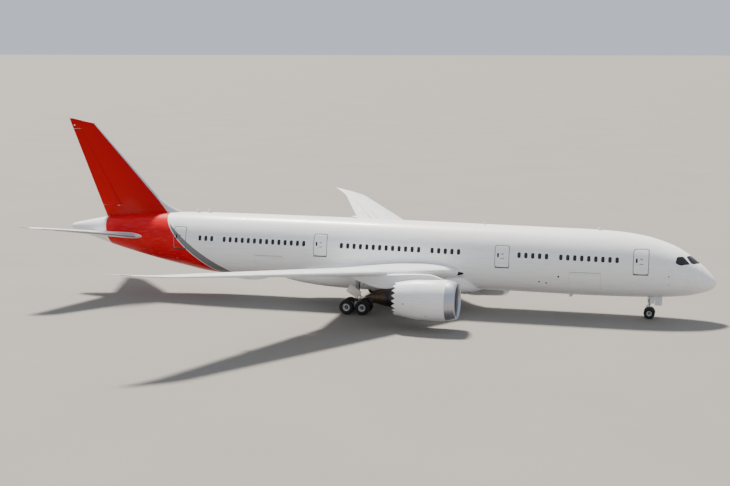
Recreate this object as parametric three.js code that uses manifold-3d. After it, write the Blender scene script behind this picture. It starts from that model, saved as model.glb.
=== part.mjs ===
// A twin engined wide body airliner parked on its wheels, built as an assembly: fuselage barrels, wings
// with flaps, spoilers and ailerons, a tail with rudder and elevators, two turbofans on pylons, a steering
// nose gear and two four wheel main bogies. All sizes below are those of the full size aircraft, in
// millimetres, and the exported group is scaled to MODEL_SCALE. +X points forward, +Y to port and +Z up,
// and the wheels stand on Z = 0.
import * as THREE from "three";
import { mergeVertices } from "three/addons/utils/BufferGeometryUtils.js";
import Module from "manifold-3d";

const wasm = await Module();
wasm.setup();

// Driving dimensions. A station is the distance aft of the nose tip.
const MODEL_SCALE = 1 / 2;
const OVERALL_LENGTH = 62810;
const SEMISPAN = 30060;
const BODY_HALF_WIDTH = 2885;
const NOSE_GEAR_STATION = 5670;
const WHEELBASE = 25830;
const MAIN_GEAR_Y = 4900;
const ENGINE_Y = 9750;
const ENGINE_Z = 2630;
const GAP = 0.6; // between pieces that are seated on each other
const CLEARANCE = 12; // between pieces that move past each other
const SIMPLIFY = 0.2; // how far a face may move when needless points are merged
const FULL_TURN = 2 * Math.PI;

const x = (station) => OVERALL_LENGTH / 2 - station;
const radians = THREE.MathUtils.degToRad;
const v3 = (a, b, c) => new THREE.Vector3(a, b, c);

const FINISH = {
  white: { color: 0xeef0f2, roughness: 0.35, metalness: 0 },
  red: { color: 0xc8102e, roughness: 0.35, metalness: 0 },
  wing: { color: 0xd9dcdf, roughness: 0.45, metalness: 0 },
  polished: { color: 0xb9bcc4, roughness: 0.2, metalness: 1 },
  titanium: { color: 0x6f675f, roughness: 0.4, metalness: 1 },
  blade: { color: 0x2b2d31, roughness: 0.3, metalness: 0.6 },
  leg: { color: 0xc9ccd0, roughness: 0.4, metalness: 0.3 },
  tyre: { color: 0x1a1a1b, roughness: 0.9, metalness: 0 },
  glass: { color: 0x14161b, roughness: 0.1, metalness: 0 },
};

const aircraft = new THREE.Group();
aircraft.scale.setScalar(MODEL_SCALE);

// Solids and how they are joined and cut.

function flipped(geometry) {
  const index = geometry.index.array;
  for (let i = 0; i < index.length; i += 3) {
    [index[i + 1], index[i + 2]] = [index[i + 2], index[i + 1]];
  }
}

// A closed geometry as a solid that faces out.
function solid(geometry) {
  const bare = geometry.clone();
  bare.deleteAttribute("normal");
  bare.deleteAttribute("uv");
  const merged = mergeVertices(bare, 1e-3);
  const kept = [];
  for (let i = 0; i < merged.index.count; i += 3) {
    const [a, b, c] = merged.index.array.subarray(i, i + 3);
    if (a !== b && b !== c && c !== a) {
      kept.push(a, b, c);
    }
  }
  merged.setIndex(kept);
  const make = () =>
    new wasm.Manifold(
      new wasm.Mesh({
        numProp: 3,
        vertProperties: new Float32Array(merged.attributes.position.array),
        triVerts: new Uint32Array(merged.index.array),
      }),
    );
  const made = make();
  if (made.volume() > 0) {
    return made;
  }
  flipped(merged);
  return make();
}

const joined = (...solids) => solids.flat().reduce((a, b) => a.add(b));
const cut = (body, ...tools) => tools.flat().reduce((a, b) => a.subtract(b), body);
const shared = (a, b) => a.intersect(b);

// A named mesh from the largest body of a solid: cuts along a curved skin can leave slivers beside it.
function node(name, body, finish) {
  const bodies = body.decompose().sort((a, b) => b.volume() - a.volume());
  const mesh = bodies[0].simplify(SIMPLIFY).getMesh();
  const points = new Float32Array(mesh.numVert * 3);
  for (let i = 0; i < mesh.numVert; i++) {
    points.set(mesh.vertProperties.subarray(i * mesh.numProp, i * mesh.numProp + 3), i * 3);
  }
  const geometry = new THREE.BufferGeometry();
  geometry.setAttribute("position", new THREE.BufferAttribute(points, 3));
  geometry.setIndex(new THREE.BufferAttribute(new Uint32Array(mesh.triVerts), 1));
  geometry.computeVertexNormals();
  const made = new THREE.Mesh(geometry, new THREE.MeshStandardMaterial(FINISH[finish]));
  made.name = name;
  aircraft.add(made);
}

// A skin through rings of equally many points, closed at both ends.
function loft(rings) {
  const n = rings[0].length;
  const points = rings.flat();
  const faces = [];
  for (let r = 0; r + 1 < rings.length; r++) {
    for (let k = 0; k < n; k++) {
      const a = r * n + k;
      const b = r * n + ((k + 1) % n);
      faces.push(a, b, a + n, b, b + n, a + n);
    }
  }
  for (const [r, turn] of [[0, true], [rings.length - 1, false]]) {
    const centre = rings[r].reduce((sum, p) => sum.add(p), v3(0, 0, 0)).divideScalar(n);
    const c = points.push(centre) - 1;
    for (let k = 0; k < n; k++) {
      const [a, b] = [r * n + k, r * n + ((k + 1) % n)];
      faces.push(...(turn ? [c, b, a] : [c, a, b]));
    }
  }
  const geometry = new THREE.BufferGeometry().setFromPoints(points);
  geometry.setIndex(faces);
  return solid(geometry);
}

// A ring that is an ellipse across the aircraft, at one station.
function ellipse(station, y, z, halfWidth, halfHeight, sides) {
  return Array.from({ length: sides }, (_, k) => {
    const turn = (FULL_TURN * k) / sides;
    return v3(x(station), y + halfWidth * Math.sin(turn), z + halfHeight * Math.cos(turn));
  });
}

// A block between two corners.
function block(low, high) {
  const size = high.map((h, i) => h - low[i]);
  const geometry = new THREE.BoxGeometry(...size);
  return solid(geometry.translate(...low.map((l, i) => l + size[i] / 2)));
}

// A round bar from one point to another, turned about its own line by a share of one of its sides.
function bar(from, to, radius, sides = 16, endRadius = radius, turn = 0) {
  const way = to.clone().sub(from);
  const geometry = new THREE.CylinderGeometry(endRadius, radius, way.length(), sides);
  geometry.rotateY((turn * FULL_TURN) / sides);
  geometry.applyQuaternion(new THREE.Quaternion().setFromUnitVectors(v3(0, 1, 0), way.clone().normalize()));
  const middle = from.clone().add(to).divideScalar(2);
  return solid(geometry.translate(middle.x, middle.y, middle.z));
}

// A bore that a bar of the same number of sides turns in: its flats face the bar's corners.
function bore(from, to, radius, sides = 16) {
  const wide = (radius + GAP) / Math.cos(Math.PI / sides);
  return bar(from, to, wide, sides, wide, 0.5);
}

// A profile of [station, radius] turned about a line along the aircraft.
function turnedAlong(profile, y, z, sides) {
  const points = profile.map(([station, radius]) => new THREE.Vector2(radius, x(station)));
  const geometry = new THREE.LatheGeometry(points, sides);
  return solid(geometry.rotateZ(-Math.PI / 2).translate(0, y, z));
}

// Fuselage: [station, top, bottom, half width]
const BODY_SIDES = 28;
const BODY = [
  [60, 3620, 3250, 250],
  [400, 4120, 2860, 800],
  [1200, 4950, 2550, 1400],
  [2300, 5800, 2270, 1910],
  [3400, 6480, 2120, 2240],
  [4500, 6920, 2030, 2460],
  [6100, 7370, 1950, 2680],
  [8900, 7720, 1880, 2850],
  [12000, 7822, 1850, BODY_HALF_WIDTH],
  [14000, 7840, 1865, BODY_HALF_WIDTH],
  [44000, 8105, 2135, BODY_HALF_WIDTH],
  [47300, 8100, 2360, 2800],
  [50000, 8050, 2830, 2600],
  [52500, 7970, 3320, 2320],
  [55000, 7800, 3880, 1930],
  [57500, 7520, 4500, 1460],
  [58800, 7300, 4870, 1200],
  [60500, 6950, 5380, 800],
  [62000, 6620, 5840, 420],
  [62400, 6500, 6000, 250],
];

function bodyAt(station) {
  const i = Math.max(1, BODY.findIndex((row) => row[0] >= station));
  const [a, b] = [BODY[i - 1], BODY[i]];
  const t = (station - a[0]) / (b[0] - a[0]);
  return a.map((value, k) => value + (b[k] - value) * t);
}

// A length of the fuselage, its skin moved outwards by grow, or inwards where grow is negative.
function barrel(from, to, grow = 0) {
  const stations = [from, ...BODY.map((row) => row[0]).filter((s) => s > from && s < to), to];
  const rings = stations.map((station) => {
    const [, top, bottom, half] = bodyAt(station);
    return ellipse(station, 0, (top + bottom) / 2, half + grow, (top - bottom) / 2 + grow, BODY_SIDES);
  });
  if (from === BODY[0][0]) {
    const nose = v3(x(0), 0, 3440);
    rings.unshift(rings[0].map((p) => p.clone().sub(nose).multiplyScalar(0.25).add(nose).setX(x(0))));
  }
  return loft(rings);
}

// The lens shaped section of a wing or tail at a share of its chord: its upper and lower side, as shares
// of the chord.
const CHORD_SHARES = [0, 0.015, 0.07, 0.22, 0.45, 0.7, 1];
function foil(share, thickness, camber) {
  const exact = (s) => {
    const ahead = 0.2969 * Math.sqrt(s) - 0.126 * s - 0.3516 * s ** 2;
    const half = 5 * thickness * (ahead + 0.2843 * s ** 3 - 0.1036 * s ** 4);
    const line = camber * 4 * s * (1 - s);
    return [line + half + 0.002 * s, line - half - 0.002 * s];
  };
  const i = Math.max(1, CHORD_SHARES.findIndex((s) => s >= share));
  const [s, t] = [CHORD_SHARES[i - 1], CHORD_SHARES[i]];
  const [p, q] = [exact(s), exact(t)];
  return p.map((value, k) => value + ((q[k] - value) * (share - s)) / (t - s));
}

// Wing: [y, leading edge station, trailing edge station, height of the leading edge, thickness as a share
// of the chord, incidence in degrees]
const WING = [
  [1600, 20910, 34040, 3540, 0.13, 3],
  [4200, 23591, 34155, 4059, 0.1236, 2.52],
  [ENGINE_Y, 27390, 34400, 4740, 0.11, 1.5],
  [26900, 39140, 41550, 6840, 0.095, 0],
  [28400, 40800, 42500, 7070, 0.09, 0],
  [29400, 42250, 43220, 7260, 0.085, 0],
  [SEMISPAN, 43560, 43740, 7430, 0.08, 0],
];
const WING_CAMBER = 0.012;

// Tailplane, with the same columns
const TAILPLANE = [
  [900, 52950, 59300, 5560, 0.1, -2],
  [9000, 59780, 62150, 7200, 0.09, -2],
  [9600, 60580, 62500, 7330, 0.08, -2],
  [9880, 61500, OVERALL_LENGTH, 7420, 0.07, -2],
];

// Fin: [height, leading edge station, trailing edge station, thickness share]
const FIN = [
  [6700, 48300, 58330, 0.079],
  [8050, 50500, 58870, 0.0855],
  [8600, 51750, 59090, 0.0933],
  [9400, 53000, 59400, 0.1],
  [16200, 59380, 62100, 0.095],
  [16620, 59790, 62265, 0.09],
  [16760, 60500, 62320, 0.085],
  [17020, 62000, 62430, 0.08],
];

// The point of a wing at a share of its chord, on its upper side, its lower side or midway, and its half
// thickness.
function wingPoint(table, side, y, share, camber = 0) {
  const i = Math.max(1, table.findIndex((row) => row[0] >= y));
  const t = (y - table[i - 1][0]) / (table[i][0] - table[i - 1][0]);
  const ends = [table[i - 1], table[i]].map(([yy, lead, trail, z, thick, incidence]) => {
    const chord = trail - lead;
    const drop = Math.tan(radians(incidence)) * share * chord;
    const [up, down] = foil(share, thick, camber);
    return [x(lead + share * chord), side * yy, z - drop + up * chord, z - drop + down * chord];
  });
  const [px, py, top, bottom] = ends[0].map((value, k) => value + (ends[1][k] - value) * t);
  return {
    top: v3(px, py, top),
    bottom: v3(px, py, bottom),
    middle: v3(px, py, (top + bottom) / 2),
    half: (top - bottom) / 2,
  };
}

function wingSolid(table, side, camber = 0) {
  const outboard = table.map(([y]) => y);
  const between = outboard
    .slice(1)
    .map((y, i) => (y + outboard[i]) / 2)
    .filter((_, i) => outboard[i + 1] - outboard[i] > 5000);
  return loft(
    [...outboard, ...between].sort((a, b) => a - b).map((y) => {
      const sides = CHORD_SHARES.map((share) => wingPoint(table, side, y, share, camber));
      return [...sides.map((p) => p.top), ...sides.reverse().slice(0, -1).map((p) => p.bottom)];
    }),
  );
}

function finSolid() {
  return loft(
    FIN.map(([z, lead, trail, thick]) => {
      const chord = trail - lead;
      const sides = CHORD_SHARES.map((share) => [x(lead + share * chord), foil(share, thick, 0)[0] * chord]);
      return [
        ...sides.map(([px, half]) => v3(px, half, z)),
        ...sides.reverse().slice(0, -1).map(([px, half]) => v3(px, -half, z)),
      ];
    }),
  );
}

// A frame on a hinge line from a to b: its X runs along the line, its Y aft and its Z away from the wing's
// plane.
function hingeFrame(a, b) {
  const along = b.clone().sub(a).normalize();
  const aft = v3(-1, 0, 0).addScaledVector(along, along.x).normalize();
  const up = along.clone().cross(aft);
  return { length: b.distanceTo(a), matrix: new THREE.Matrix4().makeBasis(along, aft, up).setPosition(a) };
}

function inFrame(frame, low, high) {
  const size = high.map((h, i) => h - low[i]);
  const geometry = new THREE.BoxGeometry(...size).translate(...low.map((l, i) => l + size[i] / 2));
  return solid(geometry.applyMatrix4(frame.matrix));
}

const NOSE_SIDES = 16;
const PIN_SIDES = 8;
const REACH = 20000; // past anything that is there
const END_GAP = 60; // between a moving surface and the wing at its ends
const BAY_SHARE = 1.12; // radius of the bay's round wall, of the half thickness
const PIN = { radius: 28, inside: 100, outside: 150 };
const NOSE_SHARE = 0.96; // of the half thickness at the hinge line

// The room over and under an outline of [x, y] points.
function prism(outline) {
  const shape = new THREE.Shape(outline.map(([a, b]) => new THREE.Vector2(a, b)));
  return solid(new THREE.ExtrudeGeometry(shape, { depth: REACH, bevelEnabled: false }));
}

// The room between two planes across the aircraft's width.
const slab = (low, high) => block([-40000, Math.min(low, high), -1000], [40000, Math.max(low, high), REACH]);

// Splits a wing or tail at a hinge line between two points a and b: the moving surface has a round nose
// about the line, and the wing keeps a bay in which its corner turns, and a hinge pin at each end.
function hinged(whole, a, b, halfA, halfB, gapA = END_GAP, gapB = END_GAP) {
  const frame = hingeFrame(a, b);
  const { length } = frame;
  const point = (along) => v3(along, 0, 0).applyMatrix4(frame.matrix);
  const slope = (halfB - halfA) / length;
  const cone = (share, grow) => {
    const radius = (along) => (halfA + slope * along) * share + grow;
    return bar(point(-300), point(length + 300), radius(-300), NOSE_SIDES, radius(length + 300));
  };
  const upright = Math.abs(b.z - a.z) > Math.abs(b.y - a.y);
  const room = (below, above) => {
    if (upright) {
      return block([-REACH * 3, -REACH, a.z - below], [REACH * 3, REACH, b.z + above]);
    }
    return slab(a.y - below, b.y + above);
  };
  // All that is aft of the hinge line, or from a little ahead of it.
  const behind = (ahead) => {
    const [p, q] = [point(-4000), point(length + 4000)].map((end) => end.add(v3(ahead, 0, 0)));
    if (upright) {
      const outline = [[p.x, -p.z], [q.x, -q.z], [q.x - REACH, -q.z], [p.x - REACH, -p.z]];
      return prism(outline).rotate([-90, 0, 0]).translate([0, -REACH / 2, 0]);
    }
    return prism([[p.x, p.y], [q.x, q.y], [q.x - REACH, q.y], [p.x - REACH, p.y]]);
  };
  const nose = shared(cone(NOSE_SHARE, 0), room(0, 0));
  const plain = joined(shared(shared(whole, behind(0)), room(0, 0)), nose);
  const bay = shared(joined(behind(CLEARANCE), cone(BAY_SHARE, CLEARANCE)), room(gapA, gapB));
  const pins = [[-PIN.outside, PIN.inside], [length - PIN.inside, length + PIN.outside]];
  const bores = pins.map(([p, q]) => bore(point(p - GAP), point(q + GAP), PIN.radius, PIN_SIDES));
  return {
    plain,
    moving: cut(plain, bores),
    bay,
    pins: pins.map(([p, q]) => bar(point(p), point(q), PIN.radius, PIN_SIDES)),
  };
}

// The joints' hinge lines, as the record states them: two points each, in metres of the model.
const hinges = {};
const remember = (name, a, b) => {
  hinges[name] = [a, b].map((p) => p.toArray().map((value) => (value * MODEL_SCALE) / 1000));
};

// A round pad under a skin for a jack to stand under, its flat face at the given height.
const PAD_RADIUS = 70;
const jackPad = (station, y, face) =>
  bar(v3(x(station), y, face), v3(x(station), y, face + 160), PAD_RADIUS, 16);

// Fuselage barrels, doors, windscreen and fairing.

const RADOME_END = 1200;
const FORWARD_END = 21300;
const CENTRE_END = 37200;
const AFT_END = 50400;
const TAIL_END = 58800;

// The flight deck glazing as it shows from the side: [station, height]
const GLAZING = [
  [1180, 5420],
  [2250, 5180],
  [3120, 5090],
  [3640, 5400],
  [3420, 5990],
  [2150, 6010],
];
const GLAZING_DEPTH = 90;

function glazingBlock(grow) {
  const centre = [2500, 5550];
  const outline = new THREE.Shape(
    GLAZING.map(([station, z]) => {
      const away = Math.hypot(station - centre[0], z - centre[1]);
      const share = 1 + grow / away;
      const moved = centre[0] + (station - centre[0]) * share;
      return new THREE.Vector2(x(moved), centre[1] + (z - centre[1]) * share);
    }),
  );
  const geometry = new THREE.ExtrudeGeometry(outline, { depth: 6000, bevelEnabled: false });
  return solid(geometry.translate(0, 0, -3000).rotateX(Math.PI / 2));
}

// Cargo doors on the starboard side: [name, front station, rear station, sill height, head height]
const CARGO_DOORS = [
  ["forward_cargo_door", 9850, 12600, 2520, 4330],
  ["aft_cargo_door", 39300, 42050, 2760, 4570],
];
const DOOR_THICKNESS = 150;
const KNUCKLE = 22;
const LEAF = 60;

function cargoDoor([name, front, rear, sill, head], hull) {
  const inner = (grow) => barrel(front - 500, rear + 500, grow);
  const lowest = (grow) => [x(rear) - grow, -4000, sill - grow];
  const opening = (grow) => block(lowest(grow), [x(front) + grow, -800, head + grow]);
  const [, top, bottom, half] = bodyAt((front + rear) / 2);
  const lift = (head - (top + bottom) / 2) / ((top - bottom) / 2);
  const hingeY = -(half * Math.sqrt(1 - lift ** 2) + KNUCKLE + 6);
  const hingeZ = head + CLEARANCE / 2;
  const [start, length] = [x(rear), rear - front];
  remember(name, v3(start, hingeY, hingeZ), v3(start + length, hingeY, hingeZ));
  const knuckles = (shares, low, high) =>
    shares.map(([p, q]) => {
      const [from, to] = [start + p * length + GAP, start + q * length - GAP];
      return joined(
        bar(v3(from, hingeY, hingeZ), v3(to, hingeY, hingeZ), KNUCKLE, PIN_SIDES),
        block([from, hingeY, hingeZ + low], [to, hingeY + KNUCKLE + 60, hingeZ + high]),
      );
    });
  const panel = cut(shared(hull, opening(0)), inner(-DOOR_THICKNESS));
  const moving = knuckles([[0.2, 0.4], [0.6, 0.8]], -LEAF, 0);
  const fixed = knuckles([[0, 0.2], [0.4, 0.6], [0.8, 1]], 0, LEAF);
  node(name, joined(panel, moving), "white");
  const body = cut(hull, cut(opening(CLEARANCE), inner(-DOOR_THICKNESS - CLEARANCE)));
  return joined(body, fixed.map((f) => cut(f, inner(-LEAF))));
}

// The fairing round the wing's root: [station, half width, top, bottom]
const FAIRING_SIDES = 24;
const FAIRING = [
  [20700, 900, 2500, 1920],
  [21900, 2400, 3700, 1640],
  [23500, 2990, 4560, 1500],
  [27500, 3120, 4850, 1450],
  [32500, 3100, 4880, 1480],
  [35500, 2960, 4600, 1600],
  [37600, 2500, 3700, 1820],
  [39300, 1500, 2600, 2080],
];

const fairingSolid = (grow = 0) =>
  loft(
    FAIRING.map(([station, half, top, bottom]) => {
      const [middle, high] = [(top + bottom) / 2, (top - bottom) / 2 + grow];
      return ellipse(station, 0, middle, half + grow, high, FAIRING_SIDES).map((p) => {
        const share = (p.z - middle) / high;
        const side = Math.sign(p.y) * (half + grow) * (1 - Math.abs(share) ** 2.6) ** (1 / 2.6);
        return v3(p.x, Math.abs(share) > 0.999 ? 0 : side, p.z);
      });
    }),
  );

// Nose gear bay: its leg and two doors hang from it
const NOSE_BAY = { half: 420, front: 4550, rear: 6150, roof: 2500 };
const noseBay = block(
  [x(NOSE_BAY.rear), -NOSE_BAY.half, 0],
  [x(NOSE_BAY.front), NOSE_BAY.half, NOSE_BAY.roof],
);

const hull = barrel(BODY[0][0], BODY[BODY.length - 1][0]);
const hullSkin = barrel(BODY[0][0], BODY[BODY.length - 1][0], GAP);
const between = (from, to) => block([x(to) + GAP / 2, -9000, -500], [x(from) - GAP / 2, 9000, 18000]);

node("radome", shared(hull, between(-100, RADOME_END)), "white");
const underGlass = barrel(RADOME_END, 6000, -GLAZING_DEPTH);
const glazed = shared(shared(hull, between(RADOME_END, 6000)), glazingBlock(0));
node("windscreen", cut(glazed, underGlass), "glass");
const aroundGlass = cut(glazingBlock(2 * GAP), barrel(RADOME_END, 6000, -GLAZING_DEPTH - GAP));
const forward = cut(shared(hull, between(RADOME_END, FORWARD_END)), noseBay, aroundGlass);
node("forward_fuselage", joined(cargoDoor(CARGO_DOORS[0], forward), jackPad(8600, 0, 1850)), "white");
node("centre_fuselage", shared(hull, between(FORWARD_END, CENTRE_END)), "white");
node("aft_fuselage", cargoDoor(CARGO_DOORS[1], shared(hull, between(CENTRE_END, AFT_END))), "white");
node("tail_fuselage", shared(hull, between(AFT_END, TAIL_END)), "red");
node("tail_cone", shared(hull, between(TAIL_END, 63000)), "white");
node("wing_body_fairing", cut(fairingSolid(), hullSkin), "white");

// Fin and rudder.
const RUDDER = { root: 8500, tip: 16000, rootShare: 0.72, tipShare: 0.7 };
const fin = finSolid();
const finHinge = (z, share) => {
  const i = FIN.findIndex((row) => row[0] >= z);
  const t = (z - FIN[i - 1][0]) / (FIN[i][0] - FIN[i - 1][0]);
  const [lead, trail, thick] = [1, 2, 3].map((k) => FIN[i - 1][k] + (FIN[i][k] - FIN[i - 1][k]) * t);
  return [v3(x(lead + share * (trail - lead)), 0, z), foil(share, thick, 0)[0] * (trail - lead)];
};
const [rudderFoot, footHalf] = finHinge(RUDDER.root, RUDDER.rootShare);
const [rudderHead, headHalf] = finHinge(RUDDER.tip, RUDDER.tipShare);
remember("rudder", rudderFoot, rudderHead);
const rudder = hinged(fin, rudderFoot, rudderHead, footHalf, headHalf);
const finFixed = cut(joined(cut(fin, rudder.bay), rudder.pins), hullSkin);
node("fin", finFixed, "red");
node("rudder", rudder.moving, "red");

// Tailplane halves and elevators.
const ELEVATOR = { root: 2300, tip: 8900, share: 0.7 };

// Movable surfaces of a wing: [name, inner y, outer y, hinge share at each, pin radius]
const FLAPS = [
  { name: "inboard_flap", inner: 3600, outer: 8350, shares: [0.765, 0.735] },
  { name: "outboard_flap", inner: 11900, outer: 19700, shares: [0.74, 0.74] },
];
const PLAIN = [
  { name: "flaperon", inner: 8650, outer: 11050, shares: [0.735, 0.735] },
  { name: "aileron", inner: 20150, outer: 26200, shares: [0.74, 0.74] },
];
const SPOILERS = [
  { name: "inboard_spoilers", inner: 4250, outer: 8250, shares: [0.66, 0.615], rear: [0.726, 0.692] },
  { name: "outboard_spoilers", inner: 12000, outer: 19600, shares: [0.61, 0.6], rear: [0.696, 0.694] },
];
const FLAP_DROP = 400; // of the flap hinge below the flap's nose
const FLAP_SWING = 30; // degrees down
const SPOILER_THICKNESS = 70;
const SPOILER_PIN = 14;

const WING_PAD = { y: 6600, share: 0.42, face: 3720 };

// Canoe fairings over the flap hinges: [flap, y]
const CANOES = [
  ["inboard_flap", 7700],
  ["outboard_flap", 13400],
  ["outboard_flap", 18300],
];
const CANOE_HALF_WIDTH = 230;
const CANOE_BELOW = 120; // of its keel under the flap hinge
const CANOE_KNUCKLE = 90;
const CANOE_PARTING = 100;

// A canoe fairing along the aircraft, round the point where the flap hinge crosses it.
function canoe(pivot, ahead, behind) {
  const rows = [
    [-ahead, 0.15, 200, 330],
    [-ahead * 0.72, 0.7, 60, 350],
    [-ahead * 0.3, 1, -90, 350],
    [behind * 0.1, 1, -CANOE_BELOW, 350],
    [behind * 0.55, 0.85, -60, 320],
    [behind * 0.85, 0.55, 60, 270],
    [behind, 0.12, 170, 230],
  ];
  return loft(
    rows.map(([aft, width, low, high]) => {
      const [bottom, top] = [Math.min(low, high), Math.max(low, high)];
      return Array.from({ length: 8 }, (_, k) => {
        const turn = (FULL_TURN * k) / 8;
        const half = CANOE_HALF_WIDTH * width;
        const up = (top + bottom) / 2 + ((top - bottom) / 2) * Math.cos(turn);
        return v3(pivot.x - aft, pivot.y + half * Math.sin(turn), pivot.z + up);
      });
    }),
  );
}

function wing(side, suffix) {
  const whole = wingSolid(WING, side, WING_CAMBER);
  let fixed = whole;
  const lineAt = (surface, shares) =>
    [surface.inner, surface.outer].map((y, i) => wingPoint(WING, side, y, shares[i], WING_CAMBER));
  // The hinge line runs to port on both wings, so that its frame's Z points up.
  const order = ([a, b]) => (side > 0 ? [a, b] : [b, a]);
  for (const surface of PLAIN) {
    const [a, b] = order(lineAt(surface, surface.shares));
    const made = hinged(whole, a.middle, b.middle, a.half, b.half);
    fixed = joined(cut(fixed, made.bay), made.pins);
    remember(surface.name + suffix, a.middle, b.middle);
    node(surface.name + suffix, made.moving, "wing");
  }
  const lowered = (drop) =>
    wingSolid(WING.map((row) => row.map((value, k) => (k === 3 ? value - drop : value))), side, WING_CAMBER);
  for (const surface of SPOILERS) {
    const [a, b] = order(lineAt(surface, surface.shares));
    const [c, d] = order(lineAt(surface, surface.rear));
    const radius = SPOILER_THICKNESS / 2;
    const axis = [a, b].map((p) => p.top.clone().add(v3(0, 0, -radius)));
    const way = axis[1].clone().sub(axis[0]).normalize();
    // The panel's outline from its hinge line to its rear edge, with a gap ahead, behind and at the ends.
    const outline = (ahead, aft, end) => {
      const edge = (p, q, shift) => [[p, -end], [q, end]].map(([from, out]) =>
        [from.x + shift + (out * (q.x - p.x)) / (q.y - p.y), from.y + out]);
      return [...edge(axis[0], axis[1], ahead), ...edge(c.top, d.top, -aft).reverse()];
    };
    const past = (p, extra) => p.clone().addScaledVector(way, extra);
    const hinge = (grow, extra) =>
      bar(past(axis[0], -extra), past(axis[1], extra), radius + grow, NOSE_SIDES);
    const pins = (make, end) =>
      axis.map((p) => make(past(p, -60 - end), past(p, 60 + end), SPOILER_PIN, PIN_SIDES));
    const panel = cut(
      joined(cut(shared(whole, prism(outline(0, 0, 0))), lowered(SPOILER_THICKNESS)), hinge(-2, 0)),
      pins(bore, GAP));
    const above = cut(
      prism(outline(CLEARANCE, 2 * CLEARANCE, 2 * CLEARANCE)), lowered(SPOILER_THICKNESS + CLEARANCE));
    const bay = joined(above, hinge(CLEARANCE, 3 * CLEARANCE));
    fixed = joined(cut(fixed, bay), pins(bar, 0));
    remember(surface.name + suffix, ...axis);
    node(surface.name + suffix, panel, "wing");
  }
  for (const surface of FLAPS) {
    const [a, b] = order(lineAt(surface, surface.shares));
    // A swept flap moves square to its hinge, so its inner end needs room to move towards the body.
    const frame = hingeFrame(a.middle, b.middle);
    const sweep = Math.abs(a.middle.x - b.middle.x) / frame.length;
    const inward = 2 * FLAP_DROP * Math.sin(radians(FLAP_SWING / 2)) * sweep + END_GAP;
    const [gapA, gapB] = order([inward, END_GAP]);
    const made = hinged(whole, a.middle, b.middle, a.half, b.half, gapA, gapB);
    fixed = cut(fixed, made.bay);
    const dropped = [0, frame.length].map((along) => v3(along, 0, -FLAP_DROP).applyMatrix4(frame.matrix));
    let moving = made.plain;
    const pivotFrame = hingeFrame(...dropped);
    for (const [, y] of CANOES.filter(([name]) => name === surface.name)) {
      const share = (side * y - dropped[0].y) / (dropped[1].y - dropped[0].y);
      const pivot = dropped[0].clone().lerp(dropped[1], share);
      const along = share * pivotFrame.length;
      const body = canoe(pivot, 1900, 1900);
      const region = (low, high) =>
        inFrame(pivotFrame, [along - 900, low, -REACH], [along + 900, high, REACH]);
      const knuckle = (make, half) => make(
        v3(along - half, 0, 0).applyMatrix4(pivotFrame.matrix),
        v3(along + half, 0, 0).applyMatrix4(pivotFrame.matrix), CANOE_KNUCKLE, NOSE_SIDES);
      const roof = cut(shared(body, region(-4000, 0)), joined(knuckle(bore, 600), made.bay));
      fixed = joined(fixed, roof);
      const arm = inFrame(pivotFrame, [along - 110, 0, -60], [along + 110, CANOE_PARTING + 40, 60]);
      moving = joined(moving, shared(body, region(CANOE_PARTING, 4000)), knuckle(bar, 170), arm);
    }
    remember(surface.name + suffix, ...dropped);
    node(surface.name + suffix, moving, "wing");
  }
  const padAt = wingPoint(WING, side, WING_PAD.y, WING_PAD.share, WING_CAMBER).bottom;
  const pad = jackPad(OVERALL_LENGTH / 2 - padAt.x, padAt.y, WING_PAD.face);
  node("wing" + suffix, joined(cut(fixed, hullSkin, fairingSolid(GAP)), pad), "wing");
}

// The wing with a gap all round it, for what is seated on it.
function wingRoom(side) {
  const moved = (lead, lift) => {
    const rows = WING.map(([y, front, trail, z, ...rest]) => [y, front - lead, trail, z + lift, ...rest]);
    return wingSolid(rows, side, WING_CAMBER);
  };
  return joined(moved(0, -GAP), moved(0, GAP), moved(GAP, 0));
}

function tailplane(side, suffix) {
  const whole = wingSolid(TAILPLANE, side);
  const ends = [ELEVATOR.root, ELEVATOR.tip].map((y) => wingPoint(TAILPLANE, side, y, ELEVATOR.share));
  const [a, b] = side > 0 ? ends : ends.reverse();
  const made = hinged(whole, a.middle, b.middle, a.half, b.half);
  remember("elevator" + suffix, a.middle, b.middle);
  node("elevator" + suffix, made.moving, "wing");
  node("tailplane" + suffix, cut(joined(cut(whole, made.bay), made.pins), hullSkin), "wing");
}

// Engines. Profiles are [station, radius].
const ENGINE_SIDES = 24;
const LIP = [
  [22100, 1725], [21500, 1615], [21220, 1500], [21240, 1430], [21500, 1375], [22100, 1385],
];
const COWL = [
  [22100 + GAP, 1725], [23200, 1795], [24500, 1770], [25700, 1625], [26700, 1440],
  [26700, 1390], [25600, 1500], [24200, 1490], [22900, 1425], [22100 + GAP, 1385],
];
const CORE = [
  [23450, 0], [23450, 760], [24300, 1000], [25700, 1010], [27400, 790], [27400, 0],
];
const NOZZLE = [
  [27400 + GAP, 0], [27400 + GAP, 790], [28600, 545], [28600, 505], [27800, 590],
  [27800, 400], [28400, 370], [29350, 40], [29350, 0],
];
const FAN_HUB = [
  [22150, 0], [22220, 80], [22500, 250], [22850, 380], [23300, 430], [23300, 0],
];
const FAN_BLADES = 12;
const BLADE = {
  root: 360, tip: 1370, front: 22750, rear: 23200, rootTwist: 25, tipTwist: 60, thickness: 34,
};
const CHEVRONS = 20;
const CHEVRON_LENGTH = 360;
const VANES = 6;

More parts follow.
